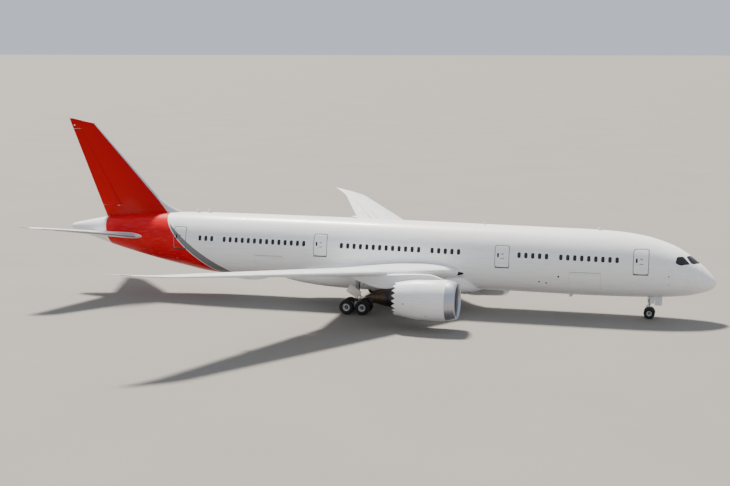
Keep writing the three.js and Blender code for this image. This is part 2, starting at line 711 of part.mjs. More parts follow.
function engine(side, suffix) {
  const [y, z] = [side * ENGINE_Y, ENGINE_Z];
  const along = (profile) => turnedAlong([...profile, profile[0]], y, z, ENGINE_SIDES);
  const spun = (geometry, turn) => solid(geometry.rotateX(turn).translate(0, y, z));

  node("inlet_lip" + suffix, along(LIP), "polished");

  const pitch = (FULL_TURN / CHEVRONS) * COWL[4][1];
  const notch = () => {
    const outline = new THREE.Shape([
      new THREE.Vector2(x(COWL[4][0] - CHEVRON_LENGTH), 0),
      new THREE.Vector2(x(COWL[4][0] + 60), pitch * 0.57),
      new THREE.Vector2(x(COWL[4][0] + 60), -pitch * 0.57),
    ]);
    return new THREE.ExtrudeGeometry(outline, { depth: 900, bevelEnabled: false }).translate(0, 0, 1150);
  };
  const notches = Array.from({ length: CHEVRONS }, (_, k) => k + 0.5)
    .filter((k) => k > 1 && k < CHEVRONS - 1)
    .map((k) => spun(notch(), (FULL_TURN * k) / CHEVRONS));
  node("fan_cowl" + suffix, cut(along(COWL), notches), "white");

  const blade = () => {
    const ring = (radius, twist, share) => {
      const [tangent, axial] = [Math.sin(radians(twist)), Math.cos(radians(twist))];
      const half = ((BLADE.rear - BLADE.front) / 2) * share;
      const middle = x((BLADE.front + BLADE.rear) / 2);
      return [[1, 0], [0, BLADE.thickness / 2], [-1, 0], [0, -BLADE.thickness / 2]].map(([u, v]) =>
        v3(middle + u * half * axial - v * tangent, u * half * tangent + v * axial, radius));
    };
    return [ring(BLADE.root, BLADE.rootTwist, 0.9), ring(BLADE.tip, BLADE.tipTwist, 1)];
  };
  const blades = Array.from({ length: FAN_BLADES }, (_, k) => {
    const turn = new THREE.Matrix4().makeRotationX((FULL_TURN * k) / FAN_BLADES).setPosition(0, y, z);
    return loft(blade().map((ring) => ring.map((p) => p.applyMatrix4(turn))));
  });
  const shaft = bar(v3(x(23290), y, z), v3(x(23900), y, z), 120, PIN_SIDES);
  node("fan" + suffix, joined(turnedAlong(FAN_HUB, y, z, 12), blades, shaft), "blade");

  const socket = bore(v3(x(23400), y, z), v3(x(23900 + GAP), y, z), 120, PIN_SIDES);
  const vanes = Array.from({ length: VANES }, (_, k) =>
    spun(new THREE.BoxGeometry(420, 40, 800).translate(x(24000), 0, 1200), (FULL_TURN * (k + 0.5)) / VANES));
  const duct = turnedAlong(
    [[22100, 0], ...COWL.slice(6).reverse().map(([s, r]) => [s, r - GAP]), [26700, 0]], y, z, ENGINE_SIDES);
  const core = turnedAlong(CORE, y, z, 20);
  const struts = vanes.map((vane) => shared(vane, duct));
  node("engine_core" + suffix, cut(joined(core, struts), socket), "titanium");
  node("exhaust_nozzle" + suffix, turnedAlong(NOZZLE, y, z, 20), "titanium");

  // Pylon: [height, front station, rear station, half width]
  const rows = [
    [3350, 25600, 28300, 150],
    [3900, 25000, 29800, 210],
    [4370, 22300, 31000, 230],
    [4560, 22800, 31500, 220],
    [4680, 23150, 31600, 190],
    [4800, 23700, 25600, 60],
  ];
  const ring = ([height, front, rear, half]) => {
    const outline = [[0, 0.12], [0.08, 0.75], [0.25, 1], [0.6, 1], [0.85, 0.6], [1, 0.12]];
    const at = ([share, width], sign) =>
      v3(x(front + share * (rear - front)), y + sign * width * half, height);
    return [...outline.map((o) => at(o, 1)), ...outline.reverse().map((o) => at(o, -1))];
  };
  const coreSkin = turnedAlong(
    [
      [23000, 0], [23000, 1010 + GAP], [25700, 1010 + GAP], [27400, 790 + GAP], [28600 + GAP, 545 + GAP],
      [28600 + GAP, 0],
    ],
    y, z, ENGINE_SIDES,
  );
  const cowlSkin = along([
    ...COWL.slice(0, 5).map(([s, r]) => [s, r + GAP]),
    [26700 + GAP, 1440 + GAP], [26700 + GAP, 1390 - GAP],
    ...COWL.slice(6).map(([s, r]) => [s, r - GAP]),
  ]);
  node("pylon" + suffix, cut(loft(rows.map(ring)), wingRoom(side), coreSkin, cowlSkin), "white");
}

// Wheels. Each profile is [radius, distance from the wheel's middle], for half a wheel.
const WHEEL_SIDES = 18;
const MAIN_WHEEL = { radius: 686, half: 265, rim: 300, spacing: 665, axle: 80, dish: 90 };
const NOSE_WHEEL = { radius: 508, half: 200, rim: 215, spacing: 360, axle: 50, dish: 60 };
const standingHeight = (wheel) => wheel.radius * Math.cos(Math.PI / WHEEL_SIDES);

// Two wheels on one axle, with a flat of the tyre on the ground.
function wheelPair(station, y, wheel) {
  const z = standingHeight(wheel);
  const half = [
    [wheel.radius, wheel.half * 0.62], [wheel.radius * 0.8, wheel.half], [wheel.rim, wheel.half * 0.85],
    [0, wheel.half * 0.85 - wheel.dish],
  ];
  const profile = [...half.map(([r, w]) => [r, -w]).reverse(), ...half];
  const wheels = [-1, 1].map((sign) => {
    const points = profile.map(([r, w]) => new THREE.Vector2(r, w));
    const geometry = new THREE.LatheGeometry(points, WHEEL_SIDES, Math.PI / WHEEL_SIDES);
    return solid(geometry.translate(x(station), y + sign * wheel.spacing, z));
  });
  const [inner, outer] = [-1, 1].map((sign) => v3(x(station), y + sign * wheel.spacing, z));
  return joined(wheels, bar(inner, outer, wheel.axle, 12));
}

const MAIN_STATION = NOSE_GEAR_STATION + WHEELBASE;
const BOGIE = { halfLength: 730, halfWidth: 130, halfHeight: 130 };
const LEG = { outer: 210, piston: 150, top: 4150, split: 1750 };

function mainGear(side, suffix) {
  const y = side * MAIN_GEAR_Y;
  const z = standingHeight(MAIN_WHEEL);
  const stations = { front: MAIN_STATION - BOGIE.halfLength, rear: MAIN_STATION + BOGIE.halfLength };
  for (const [place, station] of Object.entries(stations)) {
    node(`main_wheels_${place}${suffix}`, wheelPair(station, y, MAIN_WHEEL), "tyre");
  }
  const housings = Object.values(stations).map((station) =>
    bar(v3(x(station), y - 230, z), v3(x(station), y + 230, z), 150, 12));
  const axles = Object.values(stations).map((station) =>
    bore(v3(x(station), y - 600, z), v3(x(station), y + 600, z), MAIN_WHEEL.axle, 12));
  const beam = block(
    [x(stations.rear), y - BOGIE.halfWidth, z - BOGIE.halfHeight],
    [x(stations.front), y + BOGIE.halfWidth, z + BOGIE.halfHeight],
  );
  const across = (half) => [-half, half].map((reach) => v3(x(MAIN_STATION), y + reach, z + 60));
  const pivot = bar(...across(300), 110, 16);
  const bogie = cut(joined(beam, housings), axles, bore(...across(301), 110));
  node("bogie" + suffix, bogie, "leg");

  // The leg ends in a fork over the bogie's middle, and its braces run inboard and forward to the wing.
  const topY = side * (MAIN_GEAR_Y + 350);
  const foot = z + 330;
  const legTop = v3(x(MAIN_STATION - 250), topY, LEG.top);
  const legFoot = v3(x(MAIN_STATION), y, foot);
  const knee = legFoot.clone().lerp(legTop, (LEG.split - foot) / (LEG.top - foot));
  const beamRoom = [BOGIE.halfWidth + GAP, z + BOGIE.halfHeight + CLEARANCE];
  const fork = cut(
    block([x(MAIN_STATION) - 130, y - 210, z - 80], [x(MAIN_STATION) + 130, y + 210, foot + 100]),
    block(
      [x(MAIN_STATION) - 400, y - beamRoom[0], z - 400],
      [x(MAIN_STATION) + 400, y + beamRoom[0], beamRoom[1]],
    ),
  );
  const joint = knee.clone().lerp(legTop, 0.12);
  const braces = [
    bar(joint, v3(x(MAIN_STATION - 300), side * 3300, 3900), 85, 8),
    bar(joint, v3(x(MAIN_STATION - 2300), side * (MAIN_GEAR_Y + 300), 4400), 75, 8),
    bar(v3(x(MAIN_STATION - 330), y, LEG.split + 250), v3(x(MAIN_STATION - 330), y, LEG.split - 450), 45, 8),
  ];
  const collars = [[150, 300], [-480, -380]].map(([low, high]) => {
    const rear = x(MAIN_STATION) - 60;
    return block([rear, y - 90, LEG.split + low], [x(MAIN_STATION - 380), y + 90, LEG.split + high]);
  });
  const leg = joined(
    bar(knee, legTop, LEG.outer, 12), bar(legFoot, knee, LEG.piston, 12), fork, pivot, braces, collars);
  node("main_leg" + suffix, cut(leg, wingRoom(side), hullSkin, fairingSolid(GAP)), "leg");

  // A door panel is carried on the outboard side of the leg, sloping down forwards.
  const door = new THREE.BoxGeometry(1260, 60, 760).rotateY(radians(33));
  const doorY = side * (MAIN_GEAR_Y + 900);
  const carrier = bar(v3(x(MAIN_STATION), y, 2150), v3(x(MAIN_STATION), doorY, 2190), 60, 12);
  const panel = joined(solid(door.translate(x(MAIN_STATION - 20), doorY, 2190)), carrier);
  node("leg_door" + suffix, cut(panel, bar(legFoot, legTop, LEG.outer + 1.1 * GAP, 12)), "white");
}

function noseGear() {
  const z = standingHeight(NOSE_WHEEL);
  const s = NOSE_GEAR_STATION;
  const place = (up) => v3(x(s), 0, up);
  node("nose_wheels", wheelPair(s, 0, NOSE_WHEEL), "tyre");
  const barrelFoot = 1330;
  const socket = bore(place(barrelFoot - 1), place(barrelFoot + 400), 80);
  const brace = bar(v3(x(s), 0, 1750), v3(x(s - 850), 0, NOSE_BAY.roof - 60), 60, 12);
  const barrel = bar(place(barrelFoot), place(NOSE_BAY.roof - GAP), 125, 16);
  node("nose_leg", cut(joined(barrel, brace), socket), "leg");
  const hub = cut(
    joined(
      bar(v3(x(s), -130, z), v3(x(s), 130, z), 95, 16),
      bar(place(z), place(barrelFoot + 400 - GAP), 80, 16),
    ),
    bore(v3(x(s), -200, z), v3(x(s), 200, z), NOSE_WHEEL.axle, 12),
  );
  const links = joined(
    block([x(s) - 260, -55, barrelFoot - 90], [x(s) - 60, 55, barrelFoot - 30]),
    bar(v3(x(s) - 240, 0, barrelFoot - 60), v3(x(s) - 60, 0, z + 120), 35, 12),
  );
  const towFitting = block([x(s) + 60, -45, z - 45], [x(s) + 200, 45, z + 45]);
  node("nose_fork", joined(hub, links, towFitting), "leg");
  for (const [side, suffix] of [[1, "_left"], [-1, "_right"]]) {
    const edge = side * (NOSE_BAY.half - 30);
    const [low, high] = [Math.min(edge, edge - side * 40), Math.max(edge, edge - side * 40)];
    const { front, rear, roof } = NOSE_BAY;
    const panel = block([x(rear - 520), low, 1230], [x(front + 40), high, roof - 200]);
    const hinge = block([x(rear - 600), low, roof - 260], [x(front + 300), high, roof - GAP]);
    node("nose_gear_door" + suffix, joined(panel, hinge), "white");
  }
}

for (const [side, suffix] of [[1, "_left"], [-1, "_right"]]) {
  wing(side, suffix);
  tailplane(side, suffix);
  engine(side, suffix);
  mainGear(side, suffix);
}
noseGear();

export const hingeLines = hinges;
export default aircraft;
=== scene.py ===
import bmesh
import bpy
import numpy as np
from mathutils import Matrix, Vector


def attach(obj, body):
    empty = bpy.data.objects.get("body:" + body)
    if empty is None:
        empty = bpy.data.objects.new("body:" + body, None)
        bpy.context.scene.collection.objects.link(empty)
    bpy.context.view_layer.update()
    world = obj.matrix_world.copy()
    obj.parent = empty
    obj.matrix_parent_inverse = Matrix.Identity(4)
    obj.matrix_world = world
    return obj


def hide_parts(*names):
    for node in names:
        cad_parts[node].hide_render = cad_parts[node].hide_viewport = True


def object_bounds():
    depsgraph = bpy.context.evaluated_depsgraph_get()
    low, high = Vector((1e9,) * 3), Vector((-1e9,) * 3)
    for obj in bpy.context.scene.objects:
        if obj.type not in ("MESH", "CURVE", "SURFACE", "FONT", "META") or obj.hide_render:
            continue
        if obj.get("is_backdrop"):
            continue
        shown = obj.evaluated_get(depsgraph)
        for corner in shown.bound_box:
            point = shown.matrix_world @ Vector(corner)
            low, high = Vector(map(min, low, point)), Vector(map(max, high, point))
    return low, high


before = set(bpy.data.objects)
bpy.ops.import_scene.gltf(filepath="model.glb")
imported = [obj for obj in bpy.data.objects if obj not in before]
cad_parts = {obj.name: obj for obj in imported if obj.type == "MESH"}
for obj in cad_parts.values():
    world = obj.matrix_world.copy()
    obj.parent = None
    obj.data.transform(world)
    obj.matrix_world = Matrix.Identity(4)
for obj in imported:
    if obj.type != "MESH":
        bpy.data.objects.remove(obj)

cad_low, cad_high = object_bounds()

# Camera: it stands far off the starboard side, abeam of the forward doors and above the roof's height,
# and looks a little aft and down, as the photograph does.
CAMERA_PLACE = (14.88, -55.79, 11.83)
CAMERA_AZIMUTH, CAMERA_ELEVATION = 15.23, 8.82
camera = bpy.data.objects.new("camera", bpy.data.cameras.new("camera"))
bpy.context.scene.collection.objects.link(camera)
camera.data.lens = 61.2
camera.data.sensor_width = 36.0
camera.data.clip_end = 5000.0
camera.location = CAMERA_PLACE
camera.rotation_euler = np.radians((90 - CAMERA_ELEVATION, 0, CAMERA_AZIMUTH))
bpy.context.scene.camera = camera

# Floor, sky and sun: plain pale concrete without markings, an even pale sky, and one soft high light
# from the far side and from aft, so that the crown is bright and the near side below the windows lies in
# gentle shade.
FLOOR_REACH = 3000.0
SUN_WAY = (0.30, -0.42, -0.86)


def linear(colour):
    """An sRGB hex colour as linear red, green, blue and alpha."""
    share = np.array([int(colour[i:i + 2], 16) for i in (1, 3, 5)]) / 255
    return (*np.where(share <= 0.04045, share / 12.92, ((share + 0.055) / 1.055) ** 2.4), 1.0)


def add(tree, kind, links=None, **settings):
    """A node of that kind with its settings. links gives each input a value or another node's output."""
    made = tree.nodes.new(kind)
    for name, value in settings.items():
        setattr(made, name, value)
    for socket, source in (links or {}).items():
        if isinstance(source, bpy.types.NodeSocket):
            tree.links.new(source, made.inputs[socket])
        else:
            made.inputs[socket].default_value = source
    return made


def surface(name, **sockets):
    """A material with one Principled shader, and its node tree and shader. Sockets are named with _ for
    a space."""
    made = bpy.data.materials.new(name)
    made.use_nodes = True
    shader = made.node_tree.nodes["Principled BSDF"]
    for socket, value in sockets.items():
        shader.inputs[socket.replace("_", " ")].default_value = value
    return made, made.node_tree, shader


def mottled(name, first, second, per_metre, detail=2.0, **sockets):
    """A surface whose colour drifts between two in soft patches, that many to a metre of the frame. Also
    gives its node tree and shader, the place on it, and the patches."""
    made, tree, shader = surface(name, **sockets)
    place = add(tree, "ShaderNodeTexCoord").outputs["Object"]
    patches = add(tree, "ShaderNodeTexNoise", {"Vector": place, "Scale": per_metre, "Detail": detail})
    tint = add(tree, "ShaderNodeMix",
               {"Factor": patches.outputs[0], 6: linear(first), 7: linear(second)}, data_type="RGBA")
    tree.links.new(tint.outputs[2], shader.inputs["Base Color"])
    return made, tree, shader, place, patches.outputs[0]


# Cast concrete, brushed: rough, with faint clouds some 8 m across.
concrete = mottled("brushed_concrete", "#807C77", "#8A8680", 0.12, 4.0, Roughness=0.85)[0]
floor_mesh = bpy.data.meshes.new("floor")
corners = np.array([(-1, -1, 0), (1, -1, 0), (1, 1, 0), (-1, 1, 0)]) * FLOOR_REACH
floor_mesh.from_pydata(corners.tolist(), [], [(0, 1, 2, 3)])
floor_mesh.materials.append(concrete)
floor = bpy.data.objects.new("floor", floor_mesh)
bpy.context.scene.collection.objects.link(floor)
floor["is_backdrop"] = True

world = bpy.data.worlds.new("pale_sky")
world.use_nodes = True
world.node_tree.nodes["Background"].inputs["Color"].default_value = linear("#D9E2EE")
world.node_tree.nodes["Background"].inputs["Strength"].default_value = 0.9
bpy.context.scene.world = world
sun = bpy.data.objects.new("sun", bpy.data.lights.new("sun", "SUN"))
sun.data.energy = 10.0
sun.data.angle = np.radians(8)
sun.data.color = linear("#FFF6EA")[:3]
z_axis = -np.array(SUN_WAY) / np.linalg.norm(SUN_WAY)
sun.rotation_euler = (np.arccos(z_axis[2]), 0, np.arctan2(z_axis[0], -z_axis[1]))
bpy.context.scene.collection.objects.link(sun)

# Fuselage: six composite barrels joined end to end, radome to tail cone. Each is one smooth skin whose
# ends are turned in a little, so that the joints between them show as fine grooves.
SCALE = 0.5
NOSE = cad_high.x
# Station, top, bottom, half width
BODY = [
    (0.00, 3.44, 3.44, 0.00), (0.06, 3.62, 3.25, 0.25), (0.40, 4.12, 2.86, 0.80),
    (1.20, 4.95, 2.55, 1.40), (2.30, 5.80, 2.27, 1.91), (3.40, 6.48, 2.12, 2.24),
    (4.50, 6.92, 2.03, 2.46), (6.10, 7.37, 1.95, 2.68), (8.90, 7.72, 1.88, 2.85),
    (12.0, 7.822, 1.85, 2.885), (14.0, 7.84, 1.865, 2.885), (44.0, 8.105, 2.135, 2.885),
    (47.3, 8.10, 2.36, 2.80), (50.0, 8.05, 2.83, 2.60), (52.5, 7.97, 3.32, 2.32),
    (55.0, 7.80, 3.88, 1.93), (57.5, 7.52, 4.50, 1.46), (58.8, 7.30, 4.87, 1.20),
    (60.5, 6.95, 5.38, 0.80), (62.0, 6.62, 5.84, 0.42), (62.4, 6.50, 6.00, 0.25),
]
BODY_RADIUS = 2.9
STARBOARD, PORT = -1, 1
JOINT_GROOVE = 0.018


def in_frame(points):
    """Places on the full size aircraft as places in the frame: halved, with the station running against
    X."""
    placed = np.array(points, float) * SCALE
    placed[..., 0] = NOSE - placed[..., 0]
    return placed


def smooth(table, at):
    """A table's other columns at values of its first: cubics whose slope at a row is the harmonic mean
    of the slopes before and after it, and 0 where those differ in sign."""
    rows = np.array(table, float)
    key, value = rows[:, 0], rows[:, 1:]
    steep = np.diff(value, axis=0) / np.diff(key)[:, None]
    product, total = steep[:-1] * steep[1:], steep[:-1] + steep[1:]
    bent = np.where(product > 0, 2 * product / np.where(product > 0, total, 1), 0)
    slope = np.concatenate([steep[:1], bent, steep[-1:]])
    i = np.clip(np.searchsorted(key, at) - 1, 0, len(key) - 2)
    span = (key[i + 1] - key[i])[..., None]
    t = (np.asarray(at) - key[i])[..., None] / span
    eased = value[i] + (value[i + 1] - value[i]) * t * t * (3 - 2 * t)
    return eased + span * t * (1 - t) * ((1 - t) * slope[i] - t * slope[i + 1])


def body_size(station):
    """Half width, half height and middle height of the fuselage. The rows are joined over the root of
    the station, in which the nose's round end is nearly straight."""
    rooted = [(row[0] ** 0.5, *row[1:]) for row in BODY]
    top, bottom, half = np.moveaxis(smooth(rooted, np.sqrt(np.maximum(station, 0))), -1, 0)
    return half, (top - bottom) / 2, (top + bottom) / 2


def on_body(station, turn, out=0.0):
    """The fuselage skin: at each station an ellipse, turn degrees from the crown to port, moved outwards
    by out."""
    station, turn, out = np.broadcast_arrays(np.asarray(station, float), np.radians(turn), out)
    half, high, middle = body_size(station)
    return np.stack([station, (half + out) * np.sin(turn), middle + (high + out) * np.cos(turn)], -1)


def turn_at(station, height, side):
    """The turn from the crown at which the skin has that height, on one side."""
    _, high, middle = body_size(np.asarray(station, float))
    return side * np.degrees(np.arccos(np.clip((height - middle) / high, -1, 1)))


def loft(rings, closed=False):
    """Quads between neighbouring rings of equally many points, and their UVs in the frame's metres: u
    runs along the mean line from ring to ring, v round each ring. Closed, the last ring joins the first;
    otherwise each end runs to a ring at its own middle point."""
    rings = np.asarray(rings, float)
    if not closed:
        ends = [np.broadcast_to(rings[end].mean(0), rings[end].shape)[None] for end in (0, -1)]
        rings = np.concatenate([ends[0], rings, ends[1]])
    count, size = rings.shape[:2]
    looped = np.concatenate([rings, rings[:, :1]], 1)
    v = np.cumsum(np.linalg.norm(np.diff(looped, axis=1), axis=2), axis=1)
    v = np.concatenate([np.zeros((count, 1)), v], 1) * SCALE
    if not closed:
        v[0], v[-1] = v[1], v[-2]
    step = np.linalg.norm(np.diff(np.concatenate([rings, rings[:1]]), axis=0), axis=2).mean(1)
    u = np.concatenate([[0], np.cumsum(step)]) * SCALE
    i, k = np.meshgrid(np.arange(count if closed else count - 1), np.arange(size), indexing="ij")
    j, m = (i + 1) % count, (k + 1) % size
    quads = np.stack([i * size + k, i * size + m, j * size + m, j * size + k], -1).reshape(-1, 4)
    uv = np.stack([u[i], v[i, k], u[i], v[i, k + 1], u[i + 1], v[j, k + 1], u[i + 1], v[j, k]], -1)
    return rings.reshape(-1, 3), quads, uv.reshape(-1, 2)


def piece(name, body, finishes, replaces=(), sharp=32):
    """One object of closed shells, by finish: {material: [shells]}. Doubles are merged, normals face
    outwards, and edges sharper than that many degrees stay crisp. It rides on the body and stands for
    the nodes it replaces."""
    shells = [(shell, number) for number, some in enumerate(finishes.values()) for shell in some]
    offsets = np.cumsum([0] + [len(shell[0]) for shell, _ in shells])
    points = in_frame(np.concatenate([shell[0] for shell, _ in shells]))
    quads = np.concatenate([shell[1] + offset for (shell, _), offset in zip(shells, offsets)])
    finish = np.concatenate([np.full(len(shell[1]), number) for shell, number in shells])
    mesh = bpy.data.meshes.new(name)
    mesh.from_pydata(points.tolist(), [], quads.tolist())
    mesh.polygons.foreach_set("material_index", finish.astype(np.int32))
    uv = np.concatenate([shell[2] for shell, _ in shells])
    mesh.uv_layers.new(name="metres").data.foreach_set("uv", uv.astype(np.float32).ravel())
    for material in finishes:
        mesh.materials.append(material)
    work = bmesh.new()
    work.from_mesh(mesh)
    bmesh.ops.remove_doubles(work, verts=work.verts, dist=1e-6)
    bmesh.ops.dissolve_degenerate(work, edges=work.edges, dist=1e-6)
    bmesh.ops.recalc_face_normals(work, faces=work.faces)
    work.to_mesh(mesh)
    work.free()
    mesh.polygons.foreach_set("use_smooth", np.ones(len(mesh.polygons), bool))
    mesh.set_sharp_from_angle(angle=np.radians(sharp))
    made = bpy.data.objects.new(name, mesh)
    bpy.context.scene.collection.objects.link(made)
    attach(made, body)
    if replaces:
        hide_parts(*replaces)
    return made


# Polyurethane enamel, sprayed over smooth composite and weathered: an even soft gloss, a skin of very
# fine ripple, and a little grime drawn back by the airflow.
# Where the paint changes on the rear body: the height from which the red edge and the grey one sweep
# forward, their spread and power, the red's station there, the white line's width, and the tail cone's
# edge and lean.
RED_TOP, RED_START, RED_SPREAD, RED_POWER = 8.3, 51.75, 0.43, 1.45
STRIPE_TOP, STRIPE_SPREAD, STRIPE_POWER = 7.2, 0.62, 0.6
WHITE_LINE = 0.09
CONE_START, CONE_LEAN = 57.02, 0.18
# FIN_RED_PAINTED_SHADE is the body's red paint made darker: painted shade, as the fin's near side lies in
# shade.
WHITE, RED, FIN_RED_PAINTED_SHADE, STRIPE_GREY = "#F6F7F9", "#D20014", "#B40008", "#7C7E82"


def enamel(name, colour, grime="#8E8B86", livery=False):
    """Enamel of one colour, streaked with grime. With livery it gives way to a grey stripe, a thin line
    and then red, aft of a line that sweeps back and up the rear body: its station is RED_START less
    RED_SPREAD times a power of the depth under RED_TOP. Aft of a leaning line before the tail cone it is
    the first colour again."""
    made, tree, shader = surface(name, Roughness=0.3, Coat_Weight=0.05, Coat_Roughness=0.08,
                                 Specular_IOR_Level=0.12)
    place = add(tree, "ShaderNodeTexCoord").outputs["Object"]
    # Streaks of grime: 120 mm apart across the flow and 2 m long at full size, so 60 mm and 1 m in the
    # frame
    drawn = add(tree, "ShaderNodeMapping", {"Vector": place, "Scale": (1.0, 16.0, 16.0)})
    streaks = add(tree, "ShaderNodeTexNoise", {"Vector": drawn.outputs[0], "Scale": 1.0, "Detail": 3.0})
    faint = add(tree, "ShaderNodeMapRange", {0: streaks.outputs[0], 1: 0.45, 2: 0.8, 3: 0.0, 4: 0.16})
    base = linear(colour)
    if livery:
        axes = add(tree, "ShaderNodeSeparateXYZ", {0: place})
        station = add(tree, "ShaderNodeMath", {0: axes.outputs[0], 1: -1 / SCALE, 2: NOSE / SCALE},
                      operation="MULTIPLY_ADD").outputs[0]
        edges = []
        for level, spread, power in ((RED_TOP, RED_SPREAD, RED_POWER),
                                     (STRIPE_TOP, STRIPE_SPREAD, STRIPE_POWER)):
            depth = add(tree, "ShaderNodeMath", {0: axes.outputs[2], 1: -1 / SCALE, 2: level},
                        operation="MULTIPLY_ADD")
            under = add(tree, "ShaderNodeMath", {0: depth.outputs[0], 1: 0.0}, operation="MAXIMUM")
            raised = add(tree, "ShaderNodeMath", {0: under.outputs[0], 1: power}, operation="POWER")
            edge = add(tree, "ShaderNodeMath", {0: raised.outputs[0], 1: spread}, operation="MULTIPLY")
            edges.append(edge.outputs[0])
        red_line = add(tree, "ShaderNodeMath", {0: RED_START, 1: edges[0]}, operation="SUBTRACT")
        grey_line = add(tree, "ShaderNodeMath", {0: red_line.outputs[0], 1: edges[1]},
                        operation="SUBTRACT")
        white_line = add(tree, "ShaderNodeMath", {0: red_line.outputs[0], 1: WHITE_LINE},
                         operation="SUBTRACT")
        cone_line = add(tree, "ShaderNodeMath", {0: axes.outputs[2], 1: CONE_LEAN / SCALE, 2: CONE_START},
                        operation="MULTIPLY_ADD")
        for line, next_colour in ((grey_line, STRIPE_GREY), (white_line, colour), (red_line, RED),
                                  (cone_line, colour)):
            past = add(tree, "ShaderNodeMath", {0: station, 1: line.outputs[0]}, operation="GREATER_THAN")
            mix = add(tree, "ShaderNodeMix", {"Factor": past.outputs[0], 6: base, 7: linear(next_colour)},
                      data_type="RGBA")
            base = mix.outputs[2]
    dirty = add(tree, "ShaderNodeMix", {"Factor": faint.outputs[0], 6: base, 7: linear(grime)},
                data_type="RGBA")
    tree.links.new(dirty.outputs[2], shader.inputs["Base Color"])
    ripple = add(tree, "ShaderNodeTexNoise", {"Vector": place, "Scale": 30.0, "Detail": 2.0})
    bump = add(tree, "ShaderNodeBump", {"Height": ripple.outputs[0], "Strength": 0.05, "Distance": 0.002})
    tree.links.new(bump.outputs[0], shader.inputs["Normal"])
    worn = add(tree, "ShaderNodeMapRange", {0: streaks.outputs[0], 3: 0.24, 4: 0.40})
    tree.links.new(worn.outputs[0], shader.inputs["Roughness"])
    return made


livery = enamel("white_and_red_enamel", WHITE, livery=True)
white_enamel = enamel("white_enamel", WHITE)
# The fin's and rudder's enamel is the body's red made darker, as painted shade.
fin_red_painted_shade = enamel("fin_red_painted_shade", FIN_RED_PAINTED_SHADE, "#6A0008")

# Name, node, first and last station
BARRELS = [
    ("radome_shell", "radome", 0.0, 1.2), ("forward_body", "forward_fuselage", 1.2, 21.3),
    ("centre_body", "centre_fuselage", 21.3, 37.2), ("aft_body", "aft_fuselage", 37.2, 50.4),
    ("tail_body", "tail_fuselage", 50.4, 58.8),
]
# Front and rear station, sill and head height
CARGO_DOORS = {"forward_cargo_door": (9.85, 12.60, 2.52, 4.33), "aft_cargo_door": (39.30, 42.05, 2.76, 4.57)}
CARGO_DEPTH, CARGO_GAP = 0.15, 0.012
NOSE_BAY = {"front": 4.55, "rear": 6.15, "half_turn": 9.2, "depth": 0.5}


def cargo_turns(door):
    """The turns of a cargo door's head and sill, which lies on the starboard side."""
    front, rear, sill, head = CARGO_DOORS[door]
    return turn_at((front + rear) / 2, np.array([head, sill]), STARBOARD)


def holes():
    """What is let into the fuselage: front and rear station, first and last turn, and depth."""
    found = [(NOSE_BAY["front"], NOSE_BAY["rear"], 180 - NOSE_BAY["half_turn"], 180 + NOSE_BAY["half_turn"],
              NOSE_BAY["depth"])]
    for door, (front, rear, _, _) in CARGO_DOORS.items():
        head, sill = cargo_turns(door) % 360
        gap = np.degrees(CARGO_GAP / BODY_RADIUS)
        found.append((front - CARGO_GAP, rear + CARGO_GAP, sill - gap, head + gap, CARGO_DEPTH + CARGO_GAP))
    return found


def barrel(first, last):
    """The skin from one station to another as rings, with the holes sunk in it: at each hole's edge two
    grid lines lie a millimetre apart, one on the skin and one at the hole's depth."""
    here = [hole for hole in holes() if first <= hole[0] and hole[1] <= last]
    edge, bit = 0.001, 0.02
    stations = [np.linspace(first ** 0.5, last ** 0.5, 60) ** 2, np.arange(np.ceil(first), last, 0.5)]
    turns = [np.arange(0, 360, 3.0)]
    for front, rear, low, high, _ in here:
        stations.append([front - edge, front + edge, rear - edge, rear + edge])
        turns.append([low - bit, low + bit, high - bit, high + bit])
    stations = np.unique(np.round(np.clip(np.concatenate(stations), first, last), 5))
    stations = np.unique(np.concatenate([stations, [first + JOINT_GROOVE, last - JOINT_GROOVE]]))
    turns = np.unique(np.round(np.concatenate(turns), 5))
    turns = np.concatenate([turns[turns >= 180], turns[turns < 180] + 360]) % 360
    station, turn = np.meshgrid(stations, turns, indexing="ij")
    out = np.zeros_like(station)
    for front, rear, low, high, depth in here:
        out[(station > front) & (station < rear) & (turn > low) & (turn < high)] = -depth
    out[(station == first) | (station == last)] -= JOINT_GROOVE if first > 0 else 0
    return on_body(station, turn, out)


for name, node, first, last in BARRELS:
    piece(name, "airframe", {livery: [loft(barrel(first, last))]}, [node])

# Tail cone: the last barrel, white, with the auxiliary power unit's exhaust in its end as a ring of bare
# metal round a dark pipe.
TAIL = {"first": 58.8, "last": 62.4, "depth": 0.7}
# Front and rear station, outer and inner radius
EXHAUST_PIPE = (62.0, 62.42, 0.19, 0.1653)


def steps_round(count):
    """That many even steps round a full turn, in radians."""
    return np.linspace(0, 2 * np.pi, count, endpoint=False)


def turned(profile, origin, way=(1, 0, 0), sides=96, closed=False):
    """A profile of (distance along a line, radius) carried round that line from its origin. A closed
    profile makes a ring; an open one is capped at both ends."""
    way = np.array(way, float) / np.linalg.norm(way)
    up = np.cross((0, 1, 0), way) if abs(way[1]) < 0.9 else np.array([0, 0, 1.0])
    up /= np.linalg.norm(up)
    angle = steps_round(sides)[:, None]
    spokes = np.cos(angle) * up + np.sin(angle) * np.cross(up, way)
    profile = np.array(profile, float)[:, None]
    points = np.array(origin, float) + profile[..., :1] * way + profile[..., 1:] * spokes
    return loft(points.swapaxes(0, 1), closed=True) if closed else loft(points)
